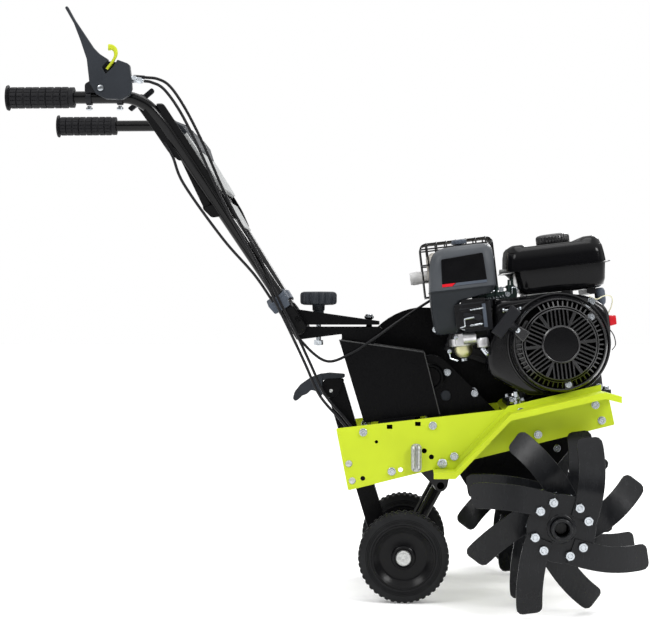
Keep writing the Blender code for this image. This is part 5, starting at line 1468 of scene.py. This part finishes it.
def governor_linkage():
    """The perforated control bracket over the shroud with its arms, springs and screws."""
    plate, bright = Shape(), Shape()
    holes = [circle((-0.145 + 0.0135 * i, 0.119), 0.0036, 14) for i in range(5)]
    plate.prism(rounded([(-0.158, 0.106), (-0.069, 0.098), (-0.065, 0.119), (-0.072, 0.126), (-0.086, 0.127),
                         (-0.09, 0.124), (-0.152, 0.127)], 0.003, 3), -0.096, -0.094, holes)
    plate.box((-0.15, -0.096, 0.0985), (-0.06, -0.04, 0.101), 0.004)
    for x, z in ((-0.152, 0.13), (-0.128, 0.133), (-0.108, 0.128), (-0.084, 0.137), (-0.078, 0.139)):
        plate.sweep([(x, -0.097, 0.112), (x + 0.003, -0.1, z)], 0.0026, 10)
    engine_piece("control_bracket", plate, "olive", (), 0.0005)
    turns, steps = 9, 14
    for start, end, radius in (((-0.151, -0.101, 0.105), (-0.092, -0.101, 0.1055), 0.0036),
                               ((-0.14, -0.099, 0.12), (-0.112, -0.099, 0.119), 0.0026)):
        a, b = Vector(start), Vector(end)
        route = [a.lerp(b, i / (turns * steps)) + Vector((0.0, math.cos(2 * math.pi * i / steps),
                                                          math.sin(2 * math.pi * i / steps))) * radius
                 for i in range(turns * steps + 1)]
        bright.sweep(route, 0.0009, 6)
    bright.sweep(bent([(-0.168, -0.108, 0.086), (-0.16, -0.103, 0.0985), (-0.151, -0.101, 0.105)], 0.01),
                 0.0015, 8)
    bright.sweep(bent([(-0.0775, -0.1, 0.109), (-0.0765, -0.1, 0.122), (-0.0665, -0.1, 0.12),
                       (-0.0665, -0.1, 0.109)], 0.003), 0.0017, 10)
    for x, z in ((-0.15, 0.1255), (-0.098, 0.12), (-0.086, 0.109)):
        bright.bolt((x, -0.0985, z), (0, -1, 0), 0.007, 0.0034, 1.5)
    engine_piece("governor_springs", bright, "zinc")


def exhaust():
    """Muffler can, its pale outlet and the welded wire cage round it."""
    finished("muffler", "exhaust", 0.003, 3)
    outlet = Shape().lathe([(0.0129, 0.0), (0.0129, 0.034), (0.0138, 0.037), (0.0138, 0.046),
                            (0.0128, 0.0515), (0.0105, 0.053), (0.009, 0.0515), (0.009, 0.0)],
                           (-0.22, 0.07, 0.165), (-1, 0, 0), 48, closed=True)
    engine_piece("exhaust_outlet", outlet, "pale_steel", (), 0.0006)
    x0, x1, y0, y1 = -0.246, -0.097, 0.006, 0.13
    bottom, top = 0.122, 0.2325
    wire = 0.0016
    cage = Shape()
    for i in range(4):
        z = bottom + (top - 0.012 - bottom) * i / 3
        loop = rounded([(x0, y0), (x1, y0), (x1, y1), (x0, y1)], 0.016, 5)
        cage.rings([[Vector((x, y, z)) + Vector((x - (x0 + x1) / 2, y - (y0 + y1) / 2,
                                                 0)).normalized() * wire * math.cos(a)
                     + Vector((0, 0, wire * math.sin(a))) for a in (2 * math.pi * k / 8 for k in range(8))]
                    for x, y in loop], closed=True)
    for i in range(7):
        x = x0 + 0.014 + (x1 - x0 - 0.028) * i / 6
        cage.sweep(bent([(x, y0, bottom), (x, y0, top), (x, y1, top), (x, y1, bottom)], 0.014, 5), wire, 8)
    for i in range(5):
        y = y0 + 0.014 + (y1 - y0 - 0.028) * i / 4
        cage.sweep(bent([(x0, y, bottom), (x0, y, top - 0.001), (x1, y, top - 0.001), (x1, y, bottom)],
                        0.014, 5), wire, 8)
    cage.box((x0 - 0.001, y0 - 0.001, 0.1195), (x0 + 0.012, y1 + 0.001, 0.122), 0.003)
    cage.box((x1 - 0.012, y0 - 0.001, 0.1195), (x1 + 0.001, y1 + 0.001, 0.122), 0.003)
    engine_piece("muffler_cage", cage, "enamel", ["muffler_guard"], sharp=50)


def engine_fittings():
    """Stop switch with its lead and earth wire, and the oil filler plug."""
    finished("stop_switch", "red", 0.0012, 3)
    base = Shape().lathe([(0.0112, -0.006), (0.0112, -0.0006), (0.0098, 0.0)], (0.1066, -0.088, 0.034),
                         (1, 0, 0), 28)
    engine_piece("switch_base", base, "plastic", (), 0.0006)
    lead = Shape().sweep(smooth_route([(0.07, -0.118, 0.086), (0.084, -0.121, 0.079), (0.096, -0.12, 0.083),
                                       (0.108, -0.116, 0.084), (0.116, -0.106, 0.076), (0.113, -0.096, 0.06),
                                       (0.106, -0.09, 0.048)]), 0.0011, 8)
    engine_piece("switch_lead", lead, "wire")
    earth = Shape().sweep(smooth_route([(0.104, -0.09, 0.02), (0.112, -0.094, 0.004),
                                        (0.112, -0.104, -0.014), (0.103, -0.112, -0.024)]), 0.001, 8)
    engine_piece("switch_earth", earth, "sheath")
    finished("oil_plug", "yellow", 0.0012, 3)


# ---------------------------------------------------------------- the whole object
LOOKS = looks()
studio()
tubes()
grips()
console()
swivel_joint()
clamp_knob()
clutch_controls()
cables()
side_plates()
frame_sheets()
carriage_hanger()
drive_case()
wheel_carriage()
wheels()
tines()
engine_block()
fan_shroud()
recoil_starter()
pull_handle()
fuel_tank()
air_cleaner()
carburettor()
governor_linkage()
exhaust()
engine_fittings()
